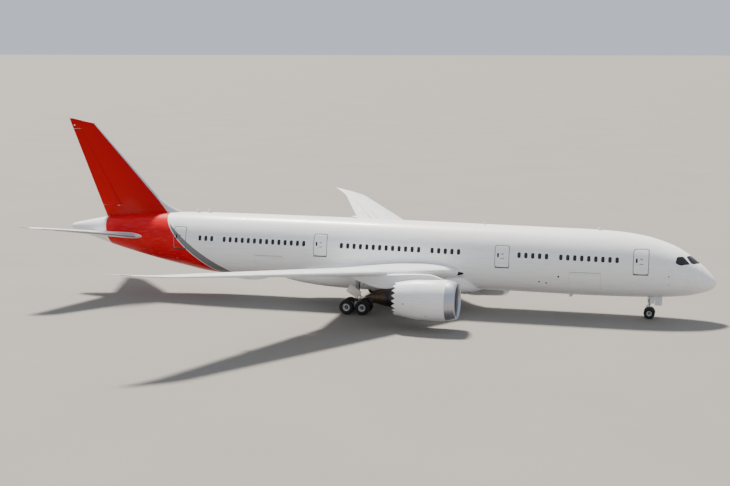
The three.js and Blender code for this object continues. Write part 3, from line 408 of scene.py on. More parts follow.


# Bare titanium, turned: half gloss, tinted straw and blue in bands where it has been hot. Its colours are
# painted much darker, a near black grey brown, as painted shade, since the core and nozzles lie in shade.
titanium, tree, shader = surface("heat_tinted_titanium_painted_shade", Metallic=1.0, Roughness=0.36)
place = add(tree, "ShaderNodeTexCoord").outputs["Object"]
bands = add(tree, "ShaderNodeMapping", {"Vector": place, "Scale": (2.2, 0.5, 0.5)})
heat = add(tree, "ShaderNodeTexNoise", {"Vector": bands.outputs[0], "Scale": 1.6, "Detail": 3.0})
heat_tints_and_shade = add(tree, "ShaderNodeValToRGB", {0: heat.outputs[0]})
# The dark stops are painted shade laid over the heat tints.
for position, colour in ((0.3, "#34363F"), (0.45, "#4A443F"), (0.55, "#5A4A38"), (0.7, "#3A3D4C")):
    stop = heat_tints_and_shade.color_ramp.elements.new(position)
    stop.color = linear(colour)
heat_tints_and_shade.color_ramp.elements.remove(heat_tints_and_shade.color_ramp.elements[0])
heat_tints_and_shade.color_ramp.elements.remove(heat_tints_and_shade.color_ramp.elements[-1])
tree.links.new(heat_tints_and_shade.outputs[0], shader.inputs["Base Color"])
grain = add(tree, "ShaderNodeMapping", {"Vector": place, "Scale": (90.0, 4.0, 4.0)})
cuts = add(tree, "ShaderNodeTexNoise", {"Vector": grain.outputs[0], "Scale": 3.0, "Detail": 2.0})
bump = add(tree, "ShaderNodeBump", {"Height": cuts.outputs[0], "Strength": 0.12, "Distance": 0.001})
tree.links.new(bump.outputs[0], shader.inputs["Normal"])

cone = barrel(TAIL["first"], TAIL["last"])
end_middle = cone[-1].mean(0)
mouth = [end_middle + (cone[-1] - end_middle) * share for share in (0.8, 0.76)]
mouth.append(mouth[1] - [TAIL["depth"], 0, 0])
piece("tail_end", "airframe", {white_enamel: [loft(np.concatenate([cone, mouth]))]},
      ["tail_cone"])
front, rear, outer, inner = EXHAUST_PIPE
ring = [(front, outer), (rear, outer), (rear, inner), (front, inner)]
piece("tail_exhaust", "airframe", {titanium: [turned(ring, (0, *end_middle[1:]), sides=48, closed=True)]})

# Flight deck windows: two windshield panes that meet at a post on the middle line and one side pane each
# side, flat dark glass in black sealant, set flush in the skin.
# Station and turn from the crown of each pane's corners, as on the starboard side
PANES = {
    "windshield": [(2.60, 27.0), (2.24, 2.0), (1.48, 2.4), (1.62, 19.0), (1.95, 36.5), (2.20, 41.0)],
    "side_window": [(3.40, 45.0), (2.90, 34.5), (2.34, 47.0), (3.10, 62.5), (3.50, 61.0)],
}


def resampled(corners, count, rounding=2):
    """A closed outline as evenly spaced points, each drawn towards its neighbours' middle so that
    corners round."""
    closed = np.concatenate([corners, corners[:1]])
    run = np.concatenate([[0], np.cumsum(np.linalg.norm(np.diff(closed, axis=0), axis=1))])
    at = np.linspace(0, run[-1], count, endpoint=False)
    points = np.stack([np.interp(at, run, closed[:, axis]) for axis in range(closed.shape[1])], -1)
    for _ in range(rounding):
        points = points / 2 + (np.roll(points, 1, 0) + np.roll(points, -1, 0)) / 4
    return points


def patch(outline, levels):
    """A plate on the fuselage: its outline of (station, turn) repeated at each level's share of its size
    about its middle, and each level's distance outside the skin."""
    middle = outline.mean(0)
    rings = [middle + share * (outline - middle) for share, _ in levels]
    return loft([on_body(*np.moveaxis(ring, -1, 0), out) for ring, (_, out) in zip(rings, levels)])


# Coated laminated glass: nearly black from outside in daylight, mirror smooth, a faint warm tint in the
# film.
coated_glass = mottled("coated_dark_glass", "#0B0D12", "#1D1418", 2.5, 1.0, Roughness=0.06, IOR=1.52)[0]

# Polysulphide sealant, trowelled into gaps: matt, nearly black, slightly uneven. The same black stands as
# painted shade in the throats of the pack intakes.
sealant_and_shade = mottled("black_sealant_and_painted_shade", "#1B1C1E", "#2C2D30", 40.0, Roughness=0.75)[0]

glass, seals = [], []
for side in (STARBOARD, PORT):
    for corners in PANES.values():
        outline = resampled(np.array(corners) * [1, side], 48)
        glass.append(patch(outline, [(1, -0.03), (1, 0.004), (0.97, 0.007), (0.6, 0.007), (0.25, 0.007)]))
        seals.append(patch(outline, [(1.09, -0.03), (1.09, 0.003), (1.0, 0.003), (0.6, 0.001)]))
piece("flight_deck_windows", "airframe", {coated_glass: glass, sealant_and_shade: seals}, ["windscreen"])

# Cabin windows: tall panes with round ends in shallow white frames, one to every frame bay, dark from
# outside.
WINDOW_PITCH, WINDOW_HALF_WIDTH, WINDOW_HALF_HEIGHT, WINDOW_TRIM = 0.61, 0.155, 0.250, 0.030
# Station of the first window of each row, and their number
WINDOW_ROWS = [(8.47, 9), (14.61, 5), (22.52, 5), (26.21, 13), (37.19, 14), (46.40, 3)]
# Two stations, and the height of the windows' middles at each
WINDOW_HEIGHTS = [(8.5, 47.7), (5.56, 5.97)]


def drawn_out(turn, power):
    """The cosine and the sine of a turn with their size raised to a power and their sign kept, which
    draws a circle out into a superellipse."""
    return [np.sign(f) * np.abs(f) ** power for f in (np.cos(turn), np.sin(turn))]


def oblong(station, height, half_width, half_height, grow=0.0, count=16, power=3.4):
    """A round ended upright outline on the skin: a superellipse of that power, as (station, turn) to
    starboard."""
    across, up = drawn_out(steps_round(count), 2 / power)
    station = station + across * (half_width + grow)
    return np.stack([station, turn_at(station, height + up * (half_height + grow), STARBOARD)], -1)


def framed(station, height, half_width, half_height, trim, stand=0.0):
    """A pane and the frame round it: the frame is a ring of four corners, the pane a plate inside it.
    Both stand that far off the skin."""
    inner, outer = (oblong(station, height, half_width, half_height, grow) for grow in (0.0, trim))
    corners = ((outer, -0.02), (outer, stand + 0.003), (inner, stand + 0.005), (inner, -0.02))
    ring = [on_body(*np.moveaxis(outline, -1, 0), out) for outline, out in corners]
    levels = [(1, -0.02), (1, stand + 0.002), (0.5, stand + 0.002)]
    return patch(inner, levels), loft(ring, closed=True)


def mirrored(shells, side):
    """Shells that were made for the starboard side, or their mirror images for the port side."""
    return [(points * [1, -side, 1], quads, uv) for points, quads, uv in shells]


stations = np.concatenate([first + WINDOW_PITCH * np.arange(count) for first, count in WINDOW_ROWS])
made = [framed(station, np.interp(station, *WINDOW_HEIGHTS), WINDOW_HALF_WIDTH, WINDOW_HALF_HEIGHT,
               WINDOW_TRIM) for station in stations]
for side, word in ((STARBOARD, "right"), (PORT, "left")):
    panes, frames = (mirrored(some, side) for some in zip(*made))
    piece(f"cabin_windows_{word}", "airframe", {coated_glass: panes, white_enamel: frames})

# Cabin doors: four on each side, plugs of the same enamelled skin in a narrow dark gap, with a grey
# rubbed edge, a small window, a flush handle and a scuff plate at the sill.
# Front and rear station, sill and head
DOORS = [(5.79, 7.07, 4.38, 6.50), (17.95, 19.20, 4.50, 6.40), (34.95, 36.20, 4.79, 6.76),
         (49.14, 50.38, 4.88, 6.90)]
DOOR_GAP, DOOR_EDGE = 0.02, 0.045
# The pane's distance from the rear edge, share of the door's height, half width, half height and trim
DOOR_PANE = (0.27, 0.56, 0.085, 0.20, 0.03)
# The handle's and the vent's share of the door's height, half width, half height and stand
DOOR_HANDLE, DOOR_VENT = (0.42, 0.17, 0.035, 0.012), (0.62, 0.11, 0.05, 0.009)

# Enamel rubbed to a satin grey by hands, steps and seals.
rubbed = mottled("rubbed_grey_enamel", "#6E7076", "#A9ABB0", 9.0, 4.0, Roughness=0.5)[0]


def door(front, rear, sill, head, count=96):
    """A door's shells by kind: its skin, the gap and the rubbed edge round it, its window's pane and
    trim, the handle, the vent above that, and the scuff plate. Its outline is a squarer superellipse."""
    station, height = (front + rear) / 2, (sill + head) / 2
    half_width, half_height = (rear - front) / 2, (head - sill) / 2
    shape = {grow: resampled(oblong(station, height, half_width, half_height, grow, 720, 11.0), count, 0)
             for grow in (DOOR_EDGE, 0.0, -DOOR_GAP)}
    bands = {}
    for kind, outer, inner, out in (("gap", 0.0, -DOOR_GAP, 0.002), ("edge", DOOR_EDGE, 0.0, 0.004)):
        rings = [on_body(*shape[grow].T, level)
                 for grow, level in ((outer, -0.02), (outer, out), (inner, out), (inner, -0.02))]
        bands[kind] = loft(rings, closed=True)
    flush = 0.006
    levels = [(1, -0.02), (1, flush / 2)] + [(share, flush) for share in (0.98, 0.8, 0.6, 0.4, 0.2)]
    skin = patch(shape[-DOOR_GAP], levels)
    back, share, *sizes = DOOR_PANE
    window, trim = framed(rear - back, sill + share * (head - sill), *sizes, flush)
    handles = [patch(oblong(station - 0.04, sill + share * (head - sill), wide, high, 0, 24, 8.0),
                     [(1, 0.0), (1, out), (0.9, out)])
               for share, wide, high, out in (DOOR_HANDLE, DOOR_VENT)]
    plate = patch(oblong(station, sill - 0.045, half_width + 0.03, 0.035, 0, 48, 10.0),
                  [(1, -0.02), (1, 0.014), (0.9, 0.016)])
    return {"skin": skin, "trim": trim, "pane": window, "handle": handles[0], "vent": handles[1],
            "plate": plate, **bands}


for side, word in ((STARBOARD, "right"), (PORT, "left")):
    made = [door(*sizes) for sizes in DOORS]
    kinds = {livery: ("skin", "trim"), sealant_and_shade: ("gap", "plate"), rubbed: ("edge", "handle", "vent"),
             coated_glass: ("pane",)}
    finishes = {material: mirrored([some[kind] for some in made for kind in names], side)
                for material, names in kinds.items()}
    piece(f"cabin_doors_{word}", "airframe", finishes)

# Cargo doors: thick curved panels in the lower starboard side that swing out and up on a row of hinge
# knuckles along the head; a thin gap shows round them when they are shut.
# Radius, and how far the hinge line lies outside the skin and above the head
KNUCKLE, HINGE_OUT, HINGE_UP = 0.017, 0.028, 0.006
# Where the knuckles meet along the head. The first, third and fifth stay on the body, the others ride on
# the door.
KNUCKLE_SHARES = [0, 0.2, 0.4, 0.6, 0.8, 1]


def tube(start, end, radius, end_radius=None, sides=24, edge=0.08):
    """A round bar between two points, its ends' edges broken by a share of the radius."""
    line = np.array(end, float) - start
    length = np.linalg.norm(line)
    last = radius if end_radius is None else end_radius
    cut = edge * min(radius, last)
    profile = [(0, radius - cut), (cut, radius), (length - cut, last), (length, last - cut)]
    return turned(profile, start, line, sides)


for name, (front, rear, sill, head) in CARGO_DOORS.items():
    turns = np.linspace(*cargo_turns(name), 24)
    stations = np.linspace(front, rear, 12)
    outer, inner = (on_body(*np.meshgrid(stations, row, indexing="ij"), out)
                    for row, out in ((turns, 0.0), (turns[::-1], -CARGO_DEPTH)))
    panel = loft(np.concatenate([outer, inner], 1))
    half, high, middle = body_size(np.array((front + rear) / 2))
    hinge_y = -(half * np.sqrt(1 - ((head - middle) / high) ** 2) + HINGE_OUT)
    hinge_z = head + HINGE_UP
    bars = [tube((front + (rear - front) * a + 0.004, hinge_y, hinge_z),
                 (front + (rear - front) * b - 0.004, hinge_y, hinge_z), KNUCKLE, sides=16)
            for a, b in zip(KNUCKLE_SHARES, KNUCKLE_SHARES[1:])]
    piece(name + "_panel", name, {white_enamel: [panel], rubbed: bars[1::2]}, [name])
    piece(name + "_hinges", "airframe", {rubbed: bars[0::2]})

# Small fittings on the fuselage: static ports and drains as small dark discs in both sides, a pale one
# by the last door, and blade aerials.
# Station, turn and radius of each disc
PORTS = [(4.06, 94.0, 0.065), (4.03, 113.0, 0.045), (13.54, 109.5, 0.09), (15.27, 122.0, 0.08),
         (14.64, 124.0, 0.08), (50.34, 131.0, 0.07)]
# Station, height above or below the skin, length at the root
AERIALS = [(10.2, 0.32, 0.42), (20.6, 0.30, 0.40), (47.6, 0.42, 0.46), (48.8, 0.42, 0.46),
           (12.6, -0.30, 0.42), (18.4, -0.30, 0.42), (43.0, -0.32, 0.44)]


def blade(station, reach, root):
    """A blade aerial: three lens shaped rings that shrink and sweep back as they leave the skin."""
    turn = steps_round(20)
    _, high, middle = body_size(np.array(float(station)))
    foot = middle + np.sign(reach) * (high - 0.03)
    return loft([np.stack([station + back + root / 2 * share * np.cos(turn), 0.03 * share * np.sin(turn),
                           np.full(20, foot + reach * up)], -1)
                 for up, back, share in ((0, 0, 1), (0.6, 0.06, 0.8), (0.95, 0.12, 0.6), (1.0, 0.14, 0.45))])


turn = steps_round(16)
discs = []
for station, degrees, radius in PORTS:
    for away in (degrees, -degrees):
        across = away + np.degrees(radius / BODY_RADIUS) * np.sin(turn)
        outline = np.stack([station + radius * np.cos(turn), across], -1)
        discs.append(patch(outline, [(1, -0.02), (1, 0.004), (0.7, 0.006)]))
piece("ports_and_drains", "airframe", {sealant_and_shade: discs[:-2], rubbed: discs[-2:]})
piece("blade_aerials", "airframe", {white_enamel: [blade(*sizes) for sizes in AERIALS]})

# Wing to body fairing: a smooth moulded shell round the wing's root and the belly, with two air intakes
# for the cooling packs low on its front.
# Station, half width, top, bottom
FAIRING = [(20.7, 0.90, 2.50, 1.92), (21.9, 2.40, 3.70, 1.64), (23.5, 2.99, 4.56, 1.50),
           (27.5, 3.12, 4.85, 1.45), (32.5, 3.10, 4.88, 1.48), (35.5, 2.96, 4.60, 1.60),
           (37.6, 2.50, 3.70, 1.82), (39.3, 1.50, 2.60, 2.08)]
FAIRING_POWER = 2.6
stations = np.linspace(FAIRING[0][0], FAIRING[-1][0], 90)
half, top, bottom = smooth(FAIRING, stations).T[:, :, None]
turn = steps_round(96)
rise, run = np.cos(turn), np.sin(turn)
side_share = np.sign(run) * (1 - np.abs(rise) ** FAIRING_POWER) ** (1 / FAIRING_POWER)
shell = np.stack(np.broadcast_arrays(stations[:, None], half * side_share,
                                     (top + bottom) / 2 + (top - bottom) / 2 * rise), -1)
piece("belly_fairing", "airframe", {white_enamel: [loft(shell)]}, ["wing_body_fairing"])

INTAKE = {"front": 21.70, "rear": 23.00, "distance": 1.50, "height": 1.86, "half_width": 0.42,
          "half_height": 0.15}
across, up = drawn_out(steps_round(40), 0.45)
scoops, throats = [], []
for side in (STARBOARD, PORT):
    rings = []
    for station, grow in ((INTAKE["rear"], 0.75), (INTAKE["front"] + 0.05, 1.0), (INTAKE["front"], 0.96),
                          (INTAKE["front"] + 0.05, 0.90), (INTAKE["rear"] - 0.6, 0.86)):
        distance = side * INTAKE["distance"] + grow * INTAKE["half_width"] * across
        height = INTAKE["height"] + grow * INTAKE["half_height"] * up
        rings.append(np.stack([np.full_like(up, station), distance, height], -1))
    scoops.append(loft(rings))
    # Each throat is a thin black plate at the back of the intake: painted shade of the duct inside.
    throats.append(loft([rings[4] - [0.02, 0, 0], rings[4] + [0.02, 0, 0]]))
piece("pack_intakes", "airframe", {rubbed: scoops, sealant_and_shade: throats})

# Wings: a fixed box of painted composite with flaps, a flaperon and an aileron along its rear edge,
# spoilers let into its upper side and slats round its leading edge. The tip is raked back in one sweep.
SPAN_HALF = cad_high.y / SCALE
WING_ROOT, GLOVE_END, TRAIL_KINK, RAKE_START = 1.6, 4.2, 9.75, 26.9
WING_CAMBER = 0.012
# The leading edge's station at the root and its sweep; how far the raked tip bends the leading edge, the
# rear edge and the height; and how far the glove leans forward and down
WING_LEAD, WING_SWEEP = 21.81, 0.685
LEAD_BEND, TRAIL_BEND, RISE_BEND = 0.226, 0.087, 0.02
GLOVE_LEAN, GLOVE_DROP = 0.346, 0.222
# Radius of the hollow round a hinge, distance of the lip ahead of it and radius of the moving nose, as
# shares of half the section's thickness there, and a gap that widens the hollow
BAY_SHARE, LIP_SHARE, NOSE_SHARE, HINGE_GAP = 1.12, 0.51, 0.95, 0.012
# Node's first word, inner and outer distance from the middle line, hinge as a share of the chord at
# each, and the gap left beyond each end
MOVING = [("inboard_flap", 3.60, 8.35, 0.765, 0.735, 0.09, 0.04),
          ("flaperon", 8.65, 11.05, 0.735, 0.735, 0.055, 0.06),
          ("outboard_flap", 11.90, 19.70, 0.74, 0.74, 0.15, 0.04),
          ("aileron", 20.15, 26.20, 0.74, 0.74, 0.03, 0.06)]
# The same for the spoilers, with the shares of their hinges, then of their rear edges, and the panels'
# number
SPOILERS = [("inboard_spoilers", 4.25, 8.25, (0.66, 0.615), (0.726, 0.692), 3),
            ("outboard_spoilers", 12.0, 19.6, (0.61, 0.60), (0.696, 0.694), 4)]
SPOILER_DEPTH, SPOILER_GAP = 0.07, 0.012
RECESS_END = 2 * SPOILER_GAP


def half_thickness(share):
    """Half the thickness of a four digit section of unit thickness at a share of its chord, a little
    blunt aft."""
    return 5 * (0.2969 * np.sqrt(share) - 0.126 * share - 0.3516 * share ** 2 + 0.2843 * share ** 3
                - 0.1036 * share ** 4)


def skin_at(row, share, side):
    """A section's upper (side 1) or lower (side -1) skin at shares of its chord, as (distance aft,
    height)."""
    bow = row["camber"] * 4 * share * (1 - share)
    half = row["thick"] * half_thickness(share) + 0.002 * share
    return np.stack([share * row["chord"] + 0 * bow, (bow + side * half) * row["chord"]], -1)


def arc(row, radius, first, last, count):
    """Points round a section's hinge from one angle to another, both counted from aft over the top."""
    turn = np.radians(np.linspace(first, last, count))
    return row["pivot"] + radius[..., None] * np.stack([np.cos(turn), np.sin(turn)], -1)


def fixed_section(row, recess=None, lead=18):
    """The fixed part's outline: over the upper skin to the lip before the hinge, round the hollow in
    which the moving part's nose turns, and back along the lower skin. Without a moving part it runs to
    the rear edge."""
    half = row["half"]
    lip = np.where(row["free"], (row["pivot"][..., 0] - LIP_SHARE * half) / row["chord"], 1.0)
    eased = 1 - np.cos(np.linspace(0, np.pi / 2, lead))
    shares = lip * eased
    if recess is not None:
        front, rear, depth = recess
        inside = front + (rear - front) * np.array([-0.02, 0, 0.002, 0.34, 0.67, 0.998, 1])
        behind = rear + (lip - rear) * np.array([0.3, 0.65, 1])
        shares = np.concatenate([front * 0.98 * eased, inside, behind], -1)
    upper = skin_at(row, shares, 1)
    if recess is not None:
        upper[..., lead + 2:lead + 6, 1] -= depth
    lower = skin_at(row, lip * eased[::-1], -1)[..., :-1, :]
    start = np.degrees(np.arccos(-LIP_SHARE / BAY_SHARE))
    hollow = arc(row, BAY_SHARE * half + HINGE_GAP, start, 360 - start, 11)[..., 1:-1, :]
    t = np.linspace(0, 1, 11)[1:-1, None]
    blunt = upper[..., -1:, :] * (1 - t) + lower[..., :1, :] * t
    return np.concatenate([upper, np.where(row["free"][..., None], hollow, blunt), lower], -2)


def moving_section(row):
    """The moving part's outline: round its nose from top to bottom, aft along the lower skin, and back
    over the upper skin."""
    nose = arc(row, NOSE_SHARE * row["half"], 90, 270, 13)
    hinge = row["pivot"][..., 0] / row["chord"]
    shares = hinge + (1 - hinge) * np.linspace(0.02, 1, 8)
    return np.concatenate([nose, skin_at(row, shares, -1), skin_at(row, shares[..., ::-1], 1)], -2)


def hung(shape, y, parts):
    """The sections that shape gives at some distances, with the hinges of the parts on them. A hinge
    line runs straight between the middles of the sections at its part's two ends, and so does half their
    thickness."""
    row = shape(np.asarray(y, float)[:, None])
    row["free"] = np.zeros_like(row["chord"], bool)
    row["pivot"] = np.stack([0.7 * row["chord"], 0 * row["chord"]], -1)
    row["half"] = 0.02 * row["chord"]
    for _, low, high, *shares, before, after in parts:
        ends = shape(np.array([[low], [high]]))
        upper, lower = (skin_at(ends, np.array(shares)[:, None], side) for side in (1, -1))
        aft, up = np.moveaxis((upper + lower) / 2, -1, 0)
        line = np.concatenate([ends["lead"] + aft, ends["lift"] - ends["slope"] * aft + up,
                               (upper - lower)[..., 1] / 2], 1)
        line = line[0] + (line[1] - line[0]) * (row["y"] - low) / (high - low)
        station, height, half = np.moveaxis(line, 1, 0)
        aft = station[:, None] - row["lead"]
        pivot = np.stack([aft, height[:, None] - row["lift"] + row["slope"] * aft], -1)
        here = (row["y"] > low - before) & (row["y"] < high + after)
        row["pivot"] = np.where(here[..., None], pivot, row["pivot"])
        row["half"] = np.where(here, half[:, None], row["half"])
        row["free"] |= here
    return row


def wing_shape(y):
    """The wing's section at distances from the middle line, as columns. Outboard of RAKE_START its edges
    and its height bend aft and up as the square of the distance, and inboard of GLOVE_END its nose leans
    forward and down."""
    rake = np.maximum(y - RAKE_START, 0) ** 2
    glove = GLOVE_LEAN * np.maximum(GLOVE_END - y, 0)
    lead = WING_LEAD + WING_SWEEP * (y - WING_ROOT) + LEAD_BEND * rake - glove
    spans = [WING_ROOT, TRAIL_KINK, SPAN_HALF]
    trail = np.interp(y, spans, [34.04, 34.40, 42.87]) + TRAIL_BEND * rake
    lift = np.interp(y, spans, [3.74, 4.74, 7.228]) + RISE_BEND * rake - GLOVE_DROP * glove
    thick = np.interp(y, [WING_ROOT, TRAIL_KINK, RAKE_START, SPAN_HALF], [0.13, 0.11, 0.095, 0.08])
    down = np.interp(y, [WING_ROOT, TRAIL_KINK, RAKE_START], [3.0, 1.5, 0.0])
    return {"y": y, "lead": lead, "chord": trail - lead, "camber": WING_CAMBER, "lift": lift,
            "thick": thick, "slope": np.tan(np.radians(down))}


def on_wing(row, section, side):
    """A section's points on the aircraft: aft of the leading edge, and up from the chord, which slopes
    down aft."""
    aft, up = section[..., 0], section[..., 1]
    return np.stack([row["lead"] + aft, np.broadcast_to(side * row["y"], aft.shape),
                     row["lift"] - row["slope"] * aft + up], -1)


def stepped(edges, base, bit=0.001):
    """Distances with two a millimetre apart at each edge, so that what changes there does so in a step."""
    edges = np.asarray(edges, float)
    return np.unique(np.round(np.concatenate([base, edges - bit, edges + bit]), 4))


# Satin polyurethane in pale grey white, on the wing box and its moving surfaces: slightly duller than
# the body, with dirt drawn back along the airflow, and fine seams between the skin panels 1.2 m by 0.6 m
# at full size.
def wing_enamel(name, colour, dark):
    """Satin enamel of one colour, streaked towards a darker one along the airflow, with a brick
    pattern's joints as seams on the UVs' metres."""
    made, tree, shader = surface(name, Roughness=0.38, Coat_Weight=0.25, Coat_Roughness=0.2)
    texture = add(tree, "ShaderNodeTexCoord")
    drawn = add(tree, "ShaderNodeMapping", {"Vector": texture.outputs["Object"], "Scale": (0.8, 9.0, 1.0)})
    streaks = add(tree, "ShaderNodeTexNoise", {"Vector": drawn.outputs[0], "Scale": 1.5, "Detail": 4.0})
    faint = add(tree, "ShaderNodeMapRange", {0: streaks.outputs[0], 1: 0.4, 2: 0.8, 3: 0.0, 4: 0.3})
    tint = add(tree, "ShaderNodeMix", {"Factor": faint.outputs[0], 6: linear(colour), 7: linear(dark)},
               data_type="RGBA")
    panels = add(tree, "ShaderNodeTexBrick", {
        "Vector": texture.outputs["UV"], "Color1": linear("#FFFFFF"), "Color2": linear("#F4F4F4"),
        "Mortar": linear("#8C8C8C"), "Scale": 1.0, "Mortar Size": 0.003, "Brick Width": 0.6,
        "Row Height": 0.3})
    seamed = add(tree, "ShaderNodeMix", {"Factor": 1.0, 6: tint.outputs[2], 7: panels.outputs["Color"]},
                 data_type="RGBA", blend_type="MULTIPLY")
    tree.links.new(seamed.outputs[2], shader.inputs["Base Color"])
    seams = {"Height": panels.outputs["Fac"], "Strength": 0.15, "Distance": 0.001}
    bump = add(tree, "ShaderNodeBump", seams, invert=True)
    tree.links.new(bump.outputs[0], shader.inputs["Normal"])
    return made


wing_grey = wing_enamel("satin_wing_enamel", "#EEF0F3", "#A6A8AA")
# The slats carry the wing's paint made paler, with fainter streaks: painted light, as the leading edge
# catches the sky.
slat_painted_light = wing_enamel("slat_enamel_painted_light", "#F4F5F8", "#C2C4C6")

# Aluminium alloy, rolled and polished: bright, faintly brushed along the span, dulled by rain in soft
# patches.
polished, tree, shader, place, patches = mottled("polished_aluminium", "#C9CBD3", "#B2B4C0", 1.4, 3.0,
                                                 Metallic=1.0, Roughness=0.4)
dull = add(tree, "ShaderNodeMapRange", {0: patches, 1: 0.3, 2: 0.7, 3: 0.34, 4: 0.48})
tree.links.new(dull.outputs[0], shader.inputs["Roughness"])
brush = add(tree, "ShaderNodeMapping", {"Vector": place, "Scale": (60.0, 3.0, 60.0)})
lines = add(tree, "ShaderNodeTexNoise", {"Vector": brush.outputs[0], "Scale": 4.0, "Detail": 2.0})
bump = add(tree, "ShaderNodeBump", {"Height": lines.outputs[0], "Strength": 0.06, "Distance": 0.0005})
tree.links.new(bump.outputs[0], shader.inputs["Normal"])

edges = [edge for _, low, high, _, _, before, after in MOVING for edge in (low - before, high + after)]
edges += [edge for _, low, high, *_ in SPOILERS for edge in (low - RECESS_END, high + RECESS_END)]
BOX_SPANS = stepped(edges, np.concatenate([
    np.linspace(WING_ROOT, TRAIL_KINK, 10), np.linspace(TRAIL_KINK, RAKE_START, 18),
    np.linspace(RAKE_START, SPAN_HALF, 14)]))


def spoiler_edges(row):
    """Shares of the chord at the spoilers' hinge lines and rear edges, and how deep their recess is, 0
    where none lies. Each line and edge runs straight between its ends."""
    y = row["y"]
    at = np.array([[sizes[k]] for sizes in SPOILERS for k in (1, 2)])
    ends = wing_shape(at)
    inside = np.any([(y > low - RECESS_END) & (y < high + RECESS_END) for _, low, high, *_ in SPOILERS], 0)
    found = []
    for k in (3, 4):
        share = np.array([[share] for sizes in SPOILERS for share in sizes[k]])
        station = np.interp(y, at[:, 0], (ends["lead"] + share * ends["chord"])[:, 0])
        between = np.interp(y, at[:, 0], share[:, 0])
        found.append(np.where(inside, (station - row["lead"]) / row["chord"], between))
    return *found, (SPOILER_DEPTH + 2 * SPOILER_GAP) * inside


def nose_sheet(row, above, below, stand):
    """A sheet round a section's nose, from one share of the chord on the upper skin to another on the
    lower one. It stands out square to the skin, and as far inside it."""
    t = np.linspace(0, 1, 11) ** 2
    line = np.concatenate([skin_at(row, above * t[::-1], 1), skin_at(row, below * t[1:], -1)], 1)
    way = np.gradient(line, axis=1)
    square = np.stack([way[..., 1], -way[..., 0]], -1) / np.linalg.norm(way, axis=2, keepdims=True)
    return np.concatenate([line + stand * square, (line - stand * square)[:, ::-1]], 1)


# Inner and outer distance of each slat from the middle line
SLATS = [(3.15, 9.35), (10.15, 13.70), (13.74, 17.30), (17.34, 20.90), (20.94, 24.50), (24.54, 28.20)]
SLAT_TOP, SLAT_UNDER, SLAT_STAND = 0.115, 0.035, 0.010

# Canoe fairings over the flap tracks: the flap they belong to, and their distance from the middle line
CANOES = [("inboard_flap", 7.7), ("outboard_flap", 13.4), ("outboard_flap", 18.3)]
CANOE = {"reach": 1.9, "half_width": 0.23, "keel": 0.12, "top": 0.35, "drop": 0.40, "parting": 0.10}


def canoe(y, side, first, last):
    """A length of a spindle under the flap's hinge, from one distance aft of its pivot to another. Its
    width falls off as a rounded power of the distance, and its keel rises to the wing at both ends. It
    is sheared to lie square to the air while its parting lies along the hinge."""
    row = hung(wing_shape, [y - 0.3, y, y + 0.3], MOVING)
    inner, pivot, outer = on_wing(row, row["pivot"], 1)[:, 0]
    sweep = (outer[0] - inner[0]) / 0.6
    aft = np.linspace(first, last, 22)[:, None]
    full = (1 - (np.abs(aft) / CANOE["reach"]) ** 2.3).clip(0.0004) ** 0.7
    turn = steps_round(28)
    keel = -CANOE["drop"] - CANOE["keel"] + 0.45 * (1 - full)
    top = -CANOE["drop"] + CANOE["top"] - 0.05 * (1 - full)
    across = CANOE["half_width"] * full * np.sin(turn)
    return loft(np.stack([pivot[0] + aft + across * sweep * full, side * (y + across),
                          pivot[2] + (keel + top) / 2 + (top - keel) / 2 * np.cos(turn)], -1))


for side, word in ((STARBOARD, "right"), (PORT, "left")):
    row = hung(wing_shape, BOX_SPANS, MOVING)
    front, rear, depth = spoiler_edges(row)
    recess = (front - (SPOILER_DEPTH / 2 + 3 * SPOILER_GAP) / row["chord"], rear, depth)
    box = loft(on_wing(row, fixed_section(row, recess), side))
    roofs = [canoe(y, side, -CANOE["reach"], 0.0) for _, y in CANOES]
    piece(f"wing_box_{word}", "airframe", {wing_grey: [box, *roofs]}, [f"wing_{word}"], 24)
    slats = []
    for low, high in SLATS:
        row = wing_shape(np.linspace(low, high, 8)[:, None])
        slats.append(loft(on_wing(row, nose_sheet(row, SLAT_TOP, SLAT_UNDER, SLAT_STAND), side)))
    piece(f"slats_{word}", "airframe", {slat_painted_light: slats})
    for name, low, high, *_ in MOVING:
        row = hung(wing_shape, np.linspace(low, high, 12), MOVING)
        shells = [loft(on_wing(row, moving_section(row), side))]
        shells += [canoe(y, side, CANOE["parting"], CANOE["reach"]) for flap, y in CANOES if flap == name]
        piece(f"{name}_skin_{word}", f"{name}_{word}", {wing_grey: shells}, [f"{name}_{word}"])
    for name, low, high, _, _, panels in SPOILERS:
        ends = np.linspace(low, high, panels + 1)
        shells = []
        for start, end in zip(ends, ends[1:]):
            row = wing_shape(np.linspace(start + SPOILER_GAP / 2, end - SPOILER_GAP / 2, 5)[:, None])
            front, rear, _ = spoiler_edges(row)
            row["pivot"] = skin_at(row, front, 1) - (0, SPOILER_DEPTH / 2)
            nose = arc(row, SPOILER_DEPTH / 2 + 0 * front, 270, 90, 9)
            tail = rear - 2 * SPOILER_GAP / row["chord"]
            line = skin_at(row, front + (tail - front) * np.array([0.03, 0.35, 0.7, 1]), 1)
            under = line[:, ::-1] - np.array([0, 1.0]) * np.array([0.04, 0.06, 0.065, 0.07])[:, None]
            shells.append(loft(on_wing(row, np.concatenate([line, under, nose], 1), side)))
        piece(f"{name}_skin_{word}", f"{name}_{word}", {wing_grey: shells}, [f"{name}_{word}"])

